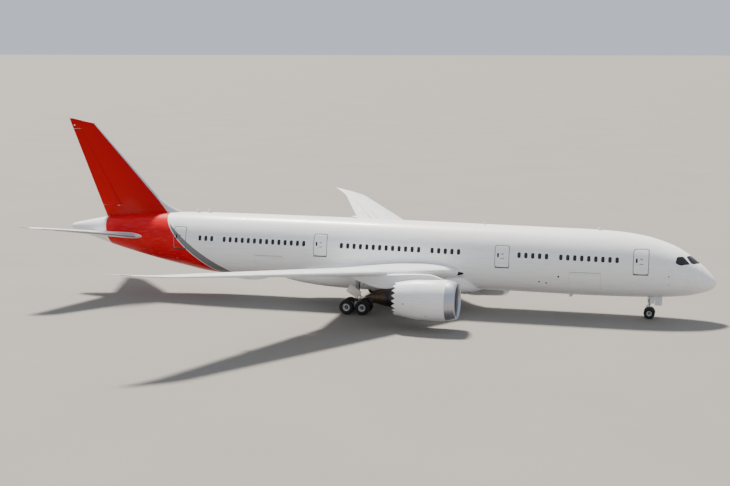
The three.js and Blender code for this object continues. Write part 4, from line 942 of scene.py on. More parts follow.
# Inboard of each wing's root slat the landing lights look out through a dark window low in the leading
# edge, which narrows towards the body, and a small glass at each tip covers the position light.
# Inner and outer distance from the middle line, and the glass's reach over and under the nose at each
GLASSES = [(2.72, 3.12, (0.0002, 0.003), (0.001, 0.014)), (29.2, 29.6, (0.02, 0.02), (0.02, 0.02))]
lights = []
for low, high, above, below in GLASSES:
    row = wing_shape(np.linspace(low, high, 6)[:, None])
    over, under = (np.linspace(*reach, 6)[:, None] for reach in (above, below))
    lights += [loft(on_wing(row, nose_sheet(row, over, under, 0.006), side)) for side in (STARBOARD, PORT)]
piece("wing_lights", "airframe", {coated_glass: lights})

# Tailplane: two all composite halves through the tail barrel, each with an elevator; pale like the
# wings, with a metal leading edge.
TAIL_ROOT, TAIL_TIP, TAIL_RAKE_START = 0.9, 9.88, 9.0
# The chord's slope down aft in degrees, the height at the root, and the rise of each metre outboard
TAIL_SLOPE, TAIL_HEIGHT, TAIL_RISE = -2.0, 5.56, 0.2025
# Station at the root, sweep and bend in the tip's rake of the leading and the rear edge
TAIL_LEAD, TAIL_TRAIL = (52.95, 0.8432, 1.2), (59.30, 0.3519, 0.42)
ELEVATOR = [("elevator", 2.30, 8.90, 0.70, 0.70, 0.05, 0.05)]


def tail_shape(y):
    """The tailplane's section at distances from the middle line, its tip raked as the wing's is."""
    rake = np.maximum(y - TAIL_RAKE_START, 0) ** 2
    lead, trail = (station + sweep * (y - TAIL_ROOT) + bend * rake
                   for station, sweep, bend in (TAIL_LEAD, TAIL_TRAIL))
    lift = TAIL_HEIGHT + TAIL_RISE * (y - TAIL_ROOT)
    thick = np.interp(y, [TAIL_ROOT, TAIL_RAKE_START, TAIL_TIP], [0.10, 0.09, 0.07])
    return {"y": y, "lead": lead, "chord": trail - lead, "lift": lift, "camber": 0.0, "thick": thick,
            "slope": np.tan(np.radians(TAIL_SLOPE))}


_, low, high, _, _, before, after = ELEVATOR[0]
spans = stepped([low - before, high + after], np.concatenate([
    np.linspace(TAIL_ROOT, TAIL_RAKE_START, 10), np.linspace(TAIL_RAKE_START, TAIL_TIP, 8)]))
for side, word in ((STARBOARD, "right"), (PORT, "left")):
    row = hung(tail_shape, spans, ELEVATOR)
    piece(f"tailplane_skin_{word}", "airframe", {wing_grey: [loft(on_wing(row, fixed_section(row), side))]},
          [f"tailplane_{word}"], 24)
    row = hung(tail_shape, np.linspace(low, high, 10), ELEVATOR)
    shell = loft(on_wing(row, moving_section(row), side))
    piece(f"elevator_skin_{word}", f"elevator_{word}", {wing_grey: [shell]},
          [f"elevator_{word}"])
    row = tail_shape(np.linspace(2.6, 9.4, 12)[:, None])
    piece(f"tailplane_edge_{word}", "airframe",
          {polished: [loft(on_wing(row, nose_sheet(row, 0.05, 0.05, 0.006), side))]})

# Fin and rudder: a tall composite fin on the tail barrel, red, with a grey fillet that sweeps down to
# the crown and a bare metal leading edge; the rudder hangs on its rear spar.
FIN_FOOT, FIN_HEAD, FILLET_TOP, TIP_START = 6.70, 17.02, 9.4, 16.6
FILLET_BEND, TIP_LEAN, CAP_START = 0.70, 4.6, 16.93
# Station at FILLET_TOP and sweep of the leading and the rear edge
FIN_LEAD, FIN_TRAIL = (53.0, 0.938), (59.40, 0.397)
RUDDER = [("rudder", 8.50, 16.00, 0.72, 0.70, 0.055, 0.03)]
FIN_STRIP = 0.03
# Sills that narrow the gaps at the rudder's ends: bottom, top, first and last share of the chord, and
# share of the fin's thickness
RUDDER_SILLS = [(8.42, 8.466, 0.70, 0.81, 0.05), (8.42, 8.486, 0.81, 0.998, 0.98),
                (16.012, 16.05, 0.66, 0.998, 0.3)]


def fin_shape(z):
    """The fin's section at heights. Its leading edge is straight, bends forward as the square of the
    depth below FILLET_TOP, and leans further aft above TIP_START; the tip's thickness falls off as a
    quarter of a circle."""
    fillet = FILLET_BEND * np.maximum(FILLET_TOP - z, 0) ** 2
    lead, trail = (station + sweep * (z - FILLET_TOP) for station, sweep in (FIN_LEAD, FIN_TRAIL))
    lead = lead - fillet + TIP_LEAN * np.maximum(z - TIP_START, 0)
    cap = np.sqrt(1 - (np.maximum(z - CAP_START, 0) / (FIN_HEAD - CAP_START)).clip(0, 0.97) ** 2)
    thick = np.interp(z, [FIN_FOOT, FILLET_TOP, 16.2, FIN_HEAD], [0.079, 0.10, 0.095, 0.07]) * cap
    return {"y": z, "lead": lead, "chord": trail - lead, "lift": 0.0, "slope": 0.0, "camber": 0.0,
            "fillet": fillet, "thick": thick}


def on_fin(row, section):
    """A section's points on the fin, which stands on the middle line: aft of the leading edge, and to
    port."""
    aft, across = section[..., 0], section[..., 1]
    return np.stack([row["lead"] + aft, across, np.broadcast_to(row["y"], aft.shape)], -1)


_, low, high, _, _, before, after = RUDDER[0]
heights = stepped([low - before, high + after], np.concatenate([
    np.linspace(FIN_FOOT, FILLET_TOP, 16), np.linspace(FILLET_TOP, TIP_START, 8),
    np.linspace(TIP_START, FIN_HEAD, 14)]))
row = hung(fin_shape, heights, RUDDER)
fixed = loft(on_fin(row, fixed_section(row)))
sills = []
for bottom, top, first, last, full in RUDDER_SILLS:
    row = fin_shape(np.array([[bottom], [top]]))
    shares = np.linspace(first, last, 8)
    section = np.concatenate([skin_at(row, shares, 1), skin_at(row, shares[::-1], -1)], 1)
    sills.append(loft(on_fin(row, section * (1, full))))
piece("fin_skin", "airframe", {fin_red_painted_shade: [fixed, *sills]}, ["fin"], 24)
row = hung(fin_shape, np.linspace(low, high, 10), RUDDER)
piece("rudder_skin", "rudder", {fin_red_painted_shade: [loft(on_fin(row, moving_section(row)))]},
      ["rudder"])
fillet_grey = enamel("pale_grey_enamel", "#C3C7CE")
strips = []
for low, high in ((7.6, FILLET_TOP), (FILLET_TOP, TIP_START)):
    row = fin_shape(np.linspace(low, high, 16)[:, None])
    share = FIN_STRIP + row["fillet"] / row["chord"]
    strips.append(loft(on_fin(row, nose_sheet(row, share, share, 0.006))))
piece("fin_edge", "airframe", {fillet_grey: strips[:1], polished: strips[1:]})
piece("fin_light", "airframe", {white_enamel: [tube((61.85, -0.09, 16.35), (61.85, 0.09, 16.35), 0.07)]})

# Engines: a turbofan under each wing. A polished intake lip, a white composite cowl that ends in a ring
# of sawteeth, a fan with wide curved blades, and a core with a short nozzle and a cone of titanium.
ENGINE_Y, ENGINE_Z = 9.75, 2.63
# Station and radius
LIP = [(22.10, 1.725), (21.78, 1.678), (21.50, 1.615), (21.30, 1.545), (21.21, 1.470), (21.27, 1.415),
       (21.50, 1.375), (22.10, 1.385)]
COWL_OUTSIDE = [(22.10, 1.725), (23.2, 1.795), (24.5, 1.770), (25.7, 1.625), (26.7, 1.440)]
COWL_INSIDE = [(22.10, 1.385), (22.9, 1.425), (24.2, 1.490), (25.6, 1.500), (26.7, 1.415)]
CORE = [(23.45, 0.50), (23.45, 0.76), (24.3, 1.00), (25.7, 1.01), (27.4, 0.79), (28.6, 0.545), (28.6, 0.515),
        (27.9, 0.58)]
PLUG = [(27.6, 0.42), (28.4, 0.37), (28.9, 0.22), (29.35, 0.03)]
SPINNER = [(22.15, 0.01), (22.22, 0.09), (22.50, 0.25), (22.85, 0.37), (23.30, 0.43)]
TEETH, TOOTH, TOOTH_SIDES = 20, 0.36, 10
COWL_SEAM, COWL_GROOVE = 24.70, 0.014
BLADES, VANES = 20, 36
BLADE = {"root": 0.37, "tip": 1.372, "middle": 22.98, "chord": 0.46, "thick": 0.030, "twist": (25, 60)}
VANE = {"root": 0.80, "tip": 1.46, "middle": 24.0, "chord": 0.30, "thick": 0.02, "twist": (-8, -8)}
# Station and degrees from the top of the small ports in the cowl's outboard side
COWL_PORTS = [(25.6, 96), (23.7, 131)]


def curve(points, count):
    """Points at even steps along a smooth line through a few given ones."""
    points = np.array(points, float)
    run = np.concatenate([[0], np.cumsum(np.linalg.norm(np.diff(points, axis=0), axis=1))])
    return smooth(np.column_stack([run, points]), np.linspace(0, run[-1], count))


def cowl(side):
    """The cowl's skins as rings round the engine. Its rear end follows a triangle wave of sawteeth,
    except under the pylon, and both skins keep their radius at each station; the seam is a narrow groove
    in the outer one."""
    count = TEETH * TOOTH_SIDES
    step = np.arange(count)[:, None]
    turn = step * 2 * np.pi / count
    near_top = np.minimum(step, count - step) < TOOTH_SIDES
    wave = np.where(near_top, 0.5, 1 - 2 * np.abs(step / TOOTH_SIDES % 1 - 0.5))
    first, length = COWL_OUTSIDE[0][0], COWL_OUTSIDE[-1][0] - COWL_OUTSIDE[0][0]
    seam = (COWL_SEAM - first) / length
    share = np.union1d(np.linspace(0, 1, 28), seam + np.array([-0.004, -0.003, 0.003, 0.004]))
    station = first + share * length - TOOTH * wave * np.clip((share - 0.8) / 0.2, 0, 1)
    skin = smooth(COWL_OUTSIDE, station)[..., 0] - COWL_GROOVE * (np.abs(share - seam) < 0.0035)
    back = station[:, ::-1]
    lining = smooth(COWL_INSIDE, back)[..., 0] + 0.001
    stations, radii = np.concatenate([station, back], 1), np.concatenate([skin, lining], 1)
    rings = [stations, side * ENGINE_Y + radii * np.sin(turn), ENGINE_Z + radii * np.cos(turn)]
    return loft(np.stack(rings, -1), closed=True)


def blades(side, count, first, sizes, grow=1.0, nose=False):
    """Blades round the engine's line: rows of lens shaped sections whose chord turns from the line with
    the radius. With nose they are only the blades' front strips, a little thicker."""
    t = np.linspace(0, 1, 12)[:, None]
    radius = sizes["root"] + (sizes["tip"] - sizes["root"]) * t
    twist = np.radians(sizes["twist"][0] + (sizes["twist"][1] - sizes["twist"][0]) * t)
    a, b = np.cos(steps_round(16)), np.sin(steps_round(16))
    along = (a * 0.08 - 0.93 if nose else a) * sizes["chord"] / 2 * (0.9 + 0.25 * np.sin(np.pi * t))
    lens = sizes["thick"] / 2 * grow * b * (0.6 if nose else np.sqrt(1.02 - a ** 2) + 0.05)
    bow = 0.05 * (1 - (2 * along / sizes["chord"]) ** 2)
    station = sizes["middle"] + along * np.cos(twist) - (lens + bow) * np.sin(twist)
    station -= 0.06 * np.sin(np.pi * t)
    drift = (along * np.sin(twist) + (lens + bow) * np.cos(twist)) / radius
    shells = []
    for angle in first + np.arange(count) * 2 * np.pi / count:
        turn = angle + side * drift
        shells.append(loft(np.stack([station, side * ENGINE_Y + radius * np.sin(turn),
                                     ENGINE_Z + radius * np.cos(turn)], -1)))
    return shells


# Pylon by station: top, bottom and half width
PYLON = [(22.3, 4.37, 4.33, 0.02), (22.7, 4.52, 4.30, 0.10), (23.2, 4.70, 4.28, 0.16),
         (23.8, 4.80, 4.22, 0.20), (24.6, 4.80, 4.05, 0.22), (25.7, 4.74, 3.45, 0.23),
         (26.9, 4.66, 3.34, 0.23), (27.7, 4.63, 3.36, 0.23), (28.4, 4.62, 3.45, 0.22),
         (29.8, 4.62, 3.90, 0.19), (31.0, 4.58, 4.36, 0.12), (31.8, 4.50, 4.42, 0.02)]


def pylon(side):
    """The pylon as upright sections along the engine's line, each a superellipse of power 4."""
    stations = np.linspace(PYLON[0][0], PYLON[-1][0], 48)
    top, bottom, half = smooth(PYLON, stations).T[:, :, None]
    rise, run = drawn_out(steps_round(40), 0.5)
    return loft(np.stack(np.broadcast_arrays(stations[:, None], side * ENGINE_Y + half * run,
                                             (top + bottom) / 2 + (top - bottom) / 2 * rise), -1))


# Carbon fibre composite under a polyurethane film: nearly black, half gloss, with a faint weave.
blade_composite = mottled("carbon_composite", "#17181B", "#303237", 55.0, Roughness=0.32,
                          Coat_Weight=0.3, Coat_Roughness=0.15)[0]

# Perforated composite lining that soaks up noise: matt grey, its holes drawn 20 mm apart at full size,
# far coarser than real, so that they show.
liner, tree, shader = surface("acoustic_lining", Roughness=0.7)
place = add(tree, "ShaderNodeTexCoord").outputs["Object"]
holes_in = add(tree, "ShaderNodeTexVoronoi", {"Vector": place, "Scale": 100.0})
dots = add(tree, "ShaderNodeMapRange", {0: holes_in.outputs["Distance"], 1: 0.15, 2: 0.35, 3: 0.0, 4: 1.0})
tint = add(tree, "ShaderNodeMix", {"Factor": dots.outputs[0], 6: linear("#3C3D41"), 7: linear("#8A8C92")},
           data_type="RGBA")
tree.links.new(tint.outputs[2], shader.inputs["Base Color"])

# The strake on each cowl's inboard side: its stations, height, and degrees from the cowl's top
STRAKE = {"front": 22.9, "rear": 24.4, "height": 0.30, "turn": 55}


def strake(side):
    """A thin fin that stands out of the cowl: at each station four corners, from a foot inside the skin
    to an edge whose height above the skin follows a sine raised to a power."""
    turn = np.radians(-side * STRAKE["turn"])
    spoke = np.array([0, np.sin(turn), np.cos(turn)])
    square = np.array([0, np.cos(turn), -np.sin(turn)])
    stations = np.linspace(STRAKE["front"], STRAKE["rear"], 9)
    line = np.stack([stations, np.full(9, side * ENGINE_Y), np.full(9, ENGINE_Z)], -1)
    skin = smooth(COWL_OUTSIDE, stations)
    edge = skin + STRAKE["height"] * np.sin(np.linspace(0, 0.8 * np.pi, 9)[:, None] / 1.1) ** 1.2
    corners = ((skin - 0.03, 0.02), (edge, 0.006), (edge, -0.006), (skin - 0.03, -0.02))
    return loft(np.stack([line + spoke * radius + square * thick for radius, thick in corners], 1))


for side, word in ((STARBOARD, "right"), (PORT, "left")):
    centre = (0.0, side * ENGINE_Y, ENGINE_Z)
    lip = turned(curve(LIP, 48), centre, sides=120, closed=True)
    piece(f"intake_lip_{word}", "airframe", {polished: [lip]}, [f"inlet_lip_{word}"])
    inside = curve(COWL_INSIDE[:4], 16)
    lining = np.concatenate([inside - (0, 0.004), inside[::-1] + (0, 0.02)])
    ports = []
    for station, degrees in COWL_PORTS:
        way = np.array([0, np.sin(side * np.radians(degrees)), np.cos(np.radians(degrees))])
        foot = np.array([station, 0, 0]) + way * smooth(COWL_OUTSIDE, np.array([station]))[0, 0]
        ports.append(turned([(-0.02, 0.055), (0.006, 0.055), (0.010, 0.035)], centre + foot, way, 16))
    piece(f"cowl_{word}", "airframe", {
        white_enamel: [cowl(side), strake(side)], liner: [turned(lining, centre, sides=96, closed=True)],
        sealant_and_shade: ports}, [f"fan_cowl_{word}"])
    spinner = turned(curve(SPINNER, 16), centre, sides=48)
    shaft = turned([(23.30, 0.12), (23.9, 0.12)], centre, sides=24)
    piece(f"fan_blades_{word}", f"fan_{word}", {
        blade_composite: blades(side, BLADES, 0.0, BLADE) + [spinner],
        titanium: blades(side, BLADES, 0.0, BLADE, 1.5, nose=True) + [shaft]},
        [f"fan_{word}"])
    core = np.concatenate([CORE[:1], curve(CORE[1:6], 30), CORE[6:]])
    piece(f"core_cowl_{word}", "airframe", {
        titanium: [turned(core, centre, sides=96, closed=True)],
        polished: blades(side, VANES, 0.1, VANE)}, [f"engine_core_{word}"])
    plug = turned(curve(PLUG, 16), centre, sides=64)
    piece(f"exhaust_cone_{word}", "airframe", {titanium: [plug]}, [f"exhaust_nozzle_{word}"])
    piece(f"pylon_skin_{word}", "airframe", {white_enamel: [pylon(side)]}, [f"pylon_{word}"])

# Wheels: treaded tyres on forged aluminium wheels, whose pale rims stand round a brake well painted dark as
# shade. Each pair turns on one axle.
# Radius, half width, rim's radius, distance of each wheel's middle from the axle's middle, and axle's
# radius
MAIN_WHEEL = {"radius": 0.6756, "half": 0.255, "rim": 0.32, "spacing": 0.665, "axle": 0.079}
NOSE_WHEEL = {"radius": 0.5003, "half": 0.190, "rim": 0.215, "spacing": 0.360, "axle": 0.049}
TREAD_GROOVES, GROOVE_HALF, GROOVE_DEPTH = np.array([-0.45, -0.15, 0.15, 0.45]), 0.028, 0.012
TREAD_EDGE, TYRE_POWER, BOLTS = 0.66, 2.7, 12


def tyre_section(wheel):
    """A superellipse from rim to tread as (across, radius), its tread cut by straight grooves round the
    tyre."""
    middle, high = (wheel["radius"] + wheel["rim"]) / 2, (wheel["radius"] - wheel["rim"]) / 2
    steps = TREAD_GROOVES[:, None] + GROOVE_HALF * np.array([-1.1, -0.9, 0.9, 1.1])
    tread = np.union1d(np.linspace(-TREAD_EDGE, TREAD_EDGE, 13), steps)
    sunk = (np.abs(tread[:, None] - TREAD_GROOVES) < GROOVE_HALF).any(1)
    out = middle + high * (1 - np.abs(tread) ** TYRE_POWER) ** (1 / TYRE_POWER) - GROOVE_DEPTH * sunk
    start = np.arcsin(TREAD_EDGE ** (TYRE_POWER / 2))
    turn = np.linspace(start, 2 * np.pi - start, 34)[1:-1]
    up, across = drawn_out(turn, 2 / TYRE_POWER)
    wall = np.stack([across, middle + high * up], -1)
    return np.concatenate([np.stack([tread, out], -1), wall]) * [wheel["half"], 1]


def wheel_shells(wheel, station, distance, height, outward):
    """One wheel's shells by kind, its open side towards outward."""
    origin, way = (station, distance, height), (0, outward, 0)
    half, rim = wheel["half"], wheel["rim"]
    well = 0.56 * rim
    ring = [(-0.6 * half, rim + 0.02), (0.72 * half, rim + 0.02), (0.80 * half, rim + 0.012),
            (0.82 * half, rim - 0.01), (0.74 * half, rim - 0.025), (0.62 * half, 0.8 * rim),
            (0.60 * half, well + 0.02), (0.56 * half, well), (-0.6 * half, well)]
    bolt = [(0.55 * half, 0.011), (0.70 * half, 0.011), (0.72 * half, 0.008)]
    bolts = [turned(bolt, (station + 0.70 * rim * np.cos(t), distance, height + 0.70 * rim * np.sin(t)),
                    way, 6) for t in np.arange(BOLTS) * 2 * np.pi / BOLTS]
    brake = [(-0.8 * half, 0.5 * well), (-0.8 * half, 0.98 * well), (0.12 * half, 0.98 * well),
             (0.2 * half, 0.5 * well)]
    cap = [(0.1 * half, 0.34 * well), (0.52 * half, 0.32 * well), (0.56 * half, 0.24 * well)]
    return {"tyre": turned(tyre_section(wheel), origin, way, 96, closed=True),
            "rim": turned(ring, origin, way, 64, closed=True), "bolts": bolts,
            "well": turned(brake, origin, way, 48), "cap": turned(cap, origin, way, 24)}


# Vulcanised natural rubber, moulded: matt black with a grey bloom of dust, greyer on the tread.
rubber, tree, shader, place, _ = mottled("vulcanised_rubber", "#121213", "#2B2A29", 14.0, 4.0,
                                         Roughness=0.82)
grit = add(tree, "ShaderNodeTexNoise", {"Vector": place, "Scale": 300.0, "Detail": 2.0})
bump = add(tree, "ShaderNodeBump", {"Height": grit.outputs[0], "Strength": 0.2, "Distance": 0.001})
tree.links.new(bump.outputs[0], shader.inputs["Normal"])

# Epoxy primer and grey gloss on forged metal: pale grey, dulled by brake dust and grease in soft
# patches.
gear_enamel, tree, shader = surface("pale_gear_enamel", Roughness=0.4, Coat_Weight=0.2)
place = add(tree, "ShaderNodeTexCoord").outputs["Object"]
grease = add(tree, "ShaderNodeTexNoise", {"Vector": place, "Scale": 7.0, "Detail": 5.0})
soiled = add(tree, "ShaderNodeMapRange", {0: grease.outputs[0], 1: 0.42, 2: 0.75, 3: 0.0, 4: 0.8})
tint = add(tree, "ShaderNodeMix", {"Factor": soiled.outputs[0], 6: linear("#C9CBCC"), 7: linear("#6B655D")},
           data_type="RGBA")
tree.links.new(tint.outputs[2], shader.inputs["Base Color"])

# Brake carbon and oxidised steel deep in the wheel: matt, a little brown, and painted nearly black as the
# shade in the brake well.
brake_dark = mottled("sooty_brake_steel_and_painted_shade", "#151617", "#35312D", 20.0, 3.0, Roughness=0.7, Metallic=0.3)[0]

NOSE_GEAR, MAIN_GEAR, MAIN_GEAR_Y, BOGIE_HALF = 5.67, 31.50, 4.90, 0.73
AXLES = [("nose_wheels", NOSE_GEAR, 0.0, NOSE_WHEEL)]
for place, way in (("front", -1), ("rear", 1)):
    AXLES += [(f"main_wheels_{place}_{word}", MAIN_GEAR + way * BOGIE_HALF, side * MAIN_GEAR_Y, MAIN_WHEEL)
              for side, word in ((PORT, "left"), (STARBOARD, "right"))]
for body, station, distance, wheel in AXLES:
    pair = [wheel_shells(wheel, station, distance + side * wheel["spacing"], wheel["radius"], side)
            for side in (STARBOARD, PORT)]
    axle = tube((station, distance - wheel["spacing"], wheel["radius"]),
                (station, distance + wheel["spacing"], wheel["radius"]), wheel["axle"])
    piece(body + "_pair", body, {
        rubber: [one["tyre"] for one in pair],
        gear_enamel: [one[kind] for one in pair for kind in ("rim", "cap")],
        polished: [bolt for one in pair for bolt in one["bolts"]] + [axle],
        brake_dark: [one["well"] for one in pair]}, [body])

# Main landing gear: a four wheeled bogie on a sprung leg under each wing. The leg leans outboard, two
# braces hold its barrel to the wing, a pair of links keeps the bogie straight, and a door panel rides on
# its outer side.
LEG_TOP, LEG_SPLIT = 4.15, 1.75
LEG_LEAN, LEG_RAKE = 0.35, 0.25
# The door panel's distance outboard of the leg, its middle's height, half sides and tilt in degrees
LEG_DOOR = {"out": 0.90, "height": 2.19, "half_length": 0.63, "half_width": 0.38, "tilt": 33}


def slab(middle, long, wide, thick, power=8.0, edge=0.15):
    """A plate: long, wide and thick are its half sides as vectors. Its outline is a superellipse of that
    power, and its edges are broken by a share of its thickness."""
    long, wide, thick = (np.array(side, float) for side in (long, wide, thick))
    a, b = drawn_out(steps_round(64)[:, None], 2 / power)
    inset = 1 - edge * np.linalg.norm(thick) / min(np.linalg.norm(long), np.linalg.norm(wide))
    return loft([np.array(middle) + (a * long + b * wide) * share + level * thick
                 for level, share in ((-1, inset), (-1 + edge, 1), (1 - edge, 1), (1, inset))])


def partway(start, end, *shares):
    """Points at shares of the way from one place to another."""
    return [start + (end - start) * share for share in shares]


def hose(points, radius, sides=12):
    """A hose along a smooth line through a few points: rings that stay upright while it bends."""
    line = curve(points, 40)
    way = np.gradient(line, axis=0)
    way /= np.linalg.norm(way, axis=1, keepdims=True)
    first = np.cross(way, (0.31, 0.95, 0.05))
    first /= np.linalg.norm(first, axis=1, keepdims=True)
    turn = steps_round(sides)[:, None]
    ring = np.cos(turn) * first[:, None] + np.sin(turn) * np.cross(way, first)[:, None]
    return loft(line[:, None] + radius * ring)


# Hard chrome, ground and polished: a mirror with a trace of oil.
chrome = mottled("hard_chrome", "#C9CCD0", "#A8A69F", 12.0, Metallic=1.0, Roughness=0.12)[0]

door_enamel = wing_enamel("aged_door_enamel", "#F4EEE6", "#B9B1A5")
hub = MAIN_WHEEL["radius"]
for side, word in ((STARBOARD, "right"), (PORT, "left")):
    y = side * MAIN_GEAR_Y
    pivot = np.array([MAIN_GEAR, y, hub])
    foot = pivot + (0, 0, 0.33)
    top = np.array([MAIN_GEAR - LEG_RAKE, side * (MAIN_GEAR_Y + LEG_LEAN), LEG_TOP])
    knee = foot + (top - foot) * (LEG_SPLIT - foot[2]) / (top[2] - foot[2])
    joint, = partway(knee, top, 0.12)
    # The barrel with two collars, its side and drag braces, and the pin that they share
    barrel_parts = [tube(knee, top, 0.205), tube(*partway(knee, top, -0.01, 0.05), 0.235),
                    tube(*partway(knee, top, 0.20, 0.25), 0.235),
                    tube(joint, (MAIN_GEAR - 0.30, side * 3.30, 3.90), 0.085),
                    tube(joint, (MAIN_GEAR - 2.30, side * (MAIN_GEAR_Y + 0.30), 4.40), 0.075),
                    tube(joint - (0, 0.26, 0), joint + (0, 0.26, 0), 0.11)]
    # The fork that straddles the bogie, its crown, and the bogie's pin
    fork = [slab(pivot + (0, way * 0.17, 0.16), (0.13, 0, 0), (0, 0, 0.25), (0, 0.038, 0), 4.0)
            for way in (-1, 1)]
    fork += [slab(pivot + (0, 0, 0.36), (0.15, 0, 0), (0, 0.205, 0), (0, 0, 0.07), 4.0),
             tube(pivot + (0, -0.30, 0.06), pivot + (0, 0.30, 0.06), 0.108)]
    apex = (MAIN_GEAR - 0.52, y, LEG_SPLIT - 0.22)
    links = []
    for way in (-1, 1):
        meeting = (apex[0], y + way * 0.03, apex[2])
        links += [tube((MAIN_GEAR - 0.18, y + way * 0.11, height), meeting, 0.05, 0.032, 12)
                  for height in (LEG_SPLIT + 0.20, LEG_SPLIT - 0.45)]
    links.append(tube((apex[0], y - 0.09, apex[2]), (apex[0], y + 0.09, apex[2]), 0.045))
    upper, lower = partway(knee, top, 0.7, 0.1)
    hoses = [hose([upper + (-0.24, way * 0.05, 0), lower + (-0.26, way * 0.06, 0),
                   (MAIN_GEAR - 0.34, y + way * 0.15, LEG_SPLIT - 0.35),
                   (MAIN_GEAR - 0.45, y + way * 0.14, hub + 0.22)], 0.018) for way in (-1, 1)]
    slider = tube(foot - (0, 0, 0.02), knee + (0, 0, 0.02), 0.15)
    piece(f"main_strut_{word}", "airframe", {
        gear_enamel: barrel_parts + fork + links, chrome: [slider], rubber: hoses},
        [f"main_leg_{word}"])
    beam = [tube(pivot - (BOGIE_HALF, 0, 0), pivot + (BOGIE_HALF, 0, 0), 0.125, sides=32),
            slab(pivot + (0, 0, 0.02), (0.30, 0, 0), (0, 0, 0.115), (0, 0.118, 0), 3.0)]
    # At each end of the beam a sleeve round the axle, two brake flanges, and a rod that holds them level
    sleeve = [(-0.23, 0.10), (-0.22, 0.148), (0.22, 0.148), (0.23, 0.10)]
    flange = [(-0.03, 0.20), (-0.02, 0.23), (0.02, 0.23), (0.03, 0.20)]
    for way in (-1, 1):
        axle = pivot + (way * BOGIE_HALF, 0, 0)
        beam.append(turned(sleeve, axle, (0, 1, 0), 32))
        beam += [turned(flange, axle + (0, out * 0.30, 0), (0, 1, 0), 32) for out in (-1, 1)]
        beam.append(tube(axle + (-way * 0.10, 0.16, 0.12), pivot + (way * 0.16, 0.16, 0.13), 0.03))
    piece(f"bogie_beam_{word}", "airframe", {gear_enamel: beam}, [f"bogie_{word}"])
    tilt = np.radians(LEG_DOOR["tilt"])
    outer = side * (MAIN_GEAR_Y + LEG_DOOR["out"])
    long = np.array([-np.cos(tilt), 0, -np.sin(tilt)])
    wide = np.array([-np.sin(tilt), 0, np.cos(tilt)])
    middle = np.array([MAIN_GEAR - 0.02, outer, LEG_DOOR["height"]])
    panel = [slab(middle, long * LEG_DOOR["half_length"], wide * LEG_DOOR["half_width"], (0, 0.028, 0),
                  14.0)]
    ribs = [slab(middle + long * share - (0, side * 0.05, 0), long * 0.022, wide * 0.33, (0, 0.03, 0), 6.0)
            for share in (-0.42, 0.0, 0.42)]
    arm = [tube((MAIN_GEAR - 0.10, y + side * 0.2, LEG_DOOR["height"] - 0.03),
                (MAIN_GEAR, outer - side * 0.03, LEG_DOOR["height"]), 0.058)]
    piece(f"leg_door_panel_{word}", "airframe", {door_enamel: panel, gear_enamel: ribs + arm},
          [f"leg_door_{word}"])

# Nose landing gear: a leg under the flight deck with a steering collar, a drag brace, links behind it,
# lamps, and the bay's two open doors, each in a long and a short panel.
NOSE_BARREL, NOSE_TOP = 1.33, 2.50
LAMP_Y, LAMP_Z = 0.20, 1.80
NOSE_DOOR_Y, NOSE_DOOR_TOP = 0.37, 2.32
# Front and rear station and lower edge of each panel, and the stations of its hinges
NOSE_DOOR_PANELS = [(4.59, 5.23, 1.25), (5.27, 5.63, 1.40)]
NOSE_DOOR_HINGES = [4.75, 5.08, 5.36, 5.56]
hub = NOSE_WHEEL["radius"]
# Bars of the leg and of the fork under it: each end's station from the leg's line, distance and height,
# radius at each end, and sides
LEG_BARS = [((0, 0, NOSE_BARREL), (0, 0, NOSE_TOP), 0.12, 0.12, 24),
            ((0, 0, 1.56), (0, 0, 1.66), 0.16, 0.16, 24),
            ((0, 0, 1.95), (0, 0, 2.02), 0.15, 0.15, 24),
            ((0, 0, 1.78), (-0.85, 0, 2.44), 0.058, 0.058, 24),
            ((0, -0.22, 1.61), (0, 0.22, 1.61), 0.045, 0.045, 24)]
FORK_BARS = [((0, -0.13, hub), (0, 0.13, hub), 0.094, 0.094, 24),
             ((0.06, 0, NOSE_BARREL - 0.06), (0.30, 0, 1.02), 0.05, 0.035, 16),
             ((0.06, 0, hub + 0.13), (0.30, 0, 1.02), 0.05, 0.035, 16),
             ((0.30, -0.05, 1.02), (0.30, 0.05, 1.02), 0.04, 0.04, 16),
             ((0, 0, NOSE_BARREL - 0.10), (0, 0, NOSE_BARREL - 0.012), 0.115, 0.115, 24)]
line = np.array([NOSE_GEAR, 0, 0])
leg, steering = ([tube(line + start, line + end, *sizes) for start, end, *sizes in bars]
                 for bars in (LEG_BARS, FORK_BARS))
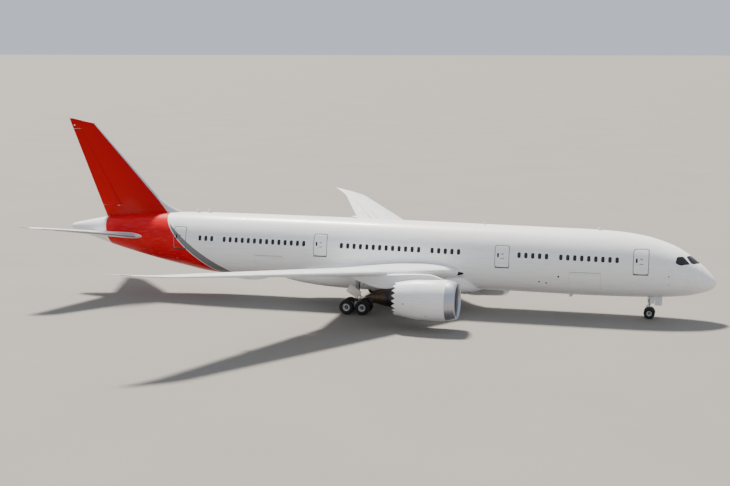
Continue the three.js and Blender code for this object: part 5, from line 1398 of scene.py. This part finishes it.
lamp = [(0.0, 0.05), (-0.10, 0.085), (-0.12, 0.085)]
lens = [(-0.12, 0.078), (-0.126, 0.07)]
lamps, glasses = ([turned(profile, (NOSE_GEAR - 0.10, way * LAMP_Y, LAMP_Z), sides=32)
                   for way in (-1, 1)] for profile in (lamp, lens))
brackets = [tube((NOSE_GEAR - 0.06, 0, LAMP_Z), (NOSE_GEAR - 0.12, way * LAMP_Y, LAMP_Z), 0.02, sides=12)
            for way in (-1, 1)]
wires = [hose([(NOSE_GEAR + 0.14, way * 0.06, 2.35), (NOSE_GEAR + 0.18, way * 0.08, 1.8),
               (NOSE_GEAR + 0.15, way * 0.07, 1.38)], 0.013) for way in (-1, 1)]
piece("nose_strut", "airframe", {
    gear_enamel: leg + brackets, chrome: lamps, coated_glass: glasses, rubber: wires},
    ["nose_leg"])
steering.append(slab((NOSE_GEAR - 0.13, 0, hub), (0.07, 0, 0), (0, 0, 0.045), (0, 0.045, 0), 4.0))
slider = tube((NOSE_GEAR, 0, hub), (NOSE_GEAR, 0, NOSE_BARREL + 0.30), 0.078)
piece("nose_steering_fork", "nose_steering", {gear_enamel: steering, chrome: [slider]},
      ["nose_fork"])
for side, word in ((STARBOARD, "right"), (PORT, "left")):
    y = side * NOSE_DOOR_Y
    panels = [slab(((front + rear) / 2, y, (low + NOSE_DOOR_TOP) / 2), ((rear - front) / 2, 0, 0),
                   (0, 0, (NOSE_DOOR_TOP - low) / 2), (0, 0.018, 0), 16.0)
              for front, rear, low in NOSE_DOOR_PANELS]
    hinges = [tube((station - 0.06, y, 2.33), (station + 0.06, y, 2.33), 0.03, sides=16)
              for station in NOSE_DOOR_HINGES]
    arms = [tube((station, side * 0.36, 2.25), (station, side * 0.34, 2.48), 0.022, sides=12)
            for station in (NOSE_DOOR_HINGES[0], NOSE_DOOR_HINGES[-1])]
    piece(f"nose_door_panels_{word}", "airframe", {white_enamel: panels, gear_enamel: hinges + arms},
          [f"nose_gear_door_{word}"])

# The model's own box.
low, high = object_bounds()
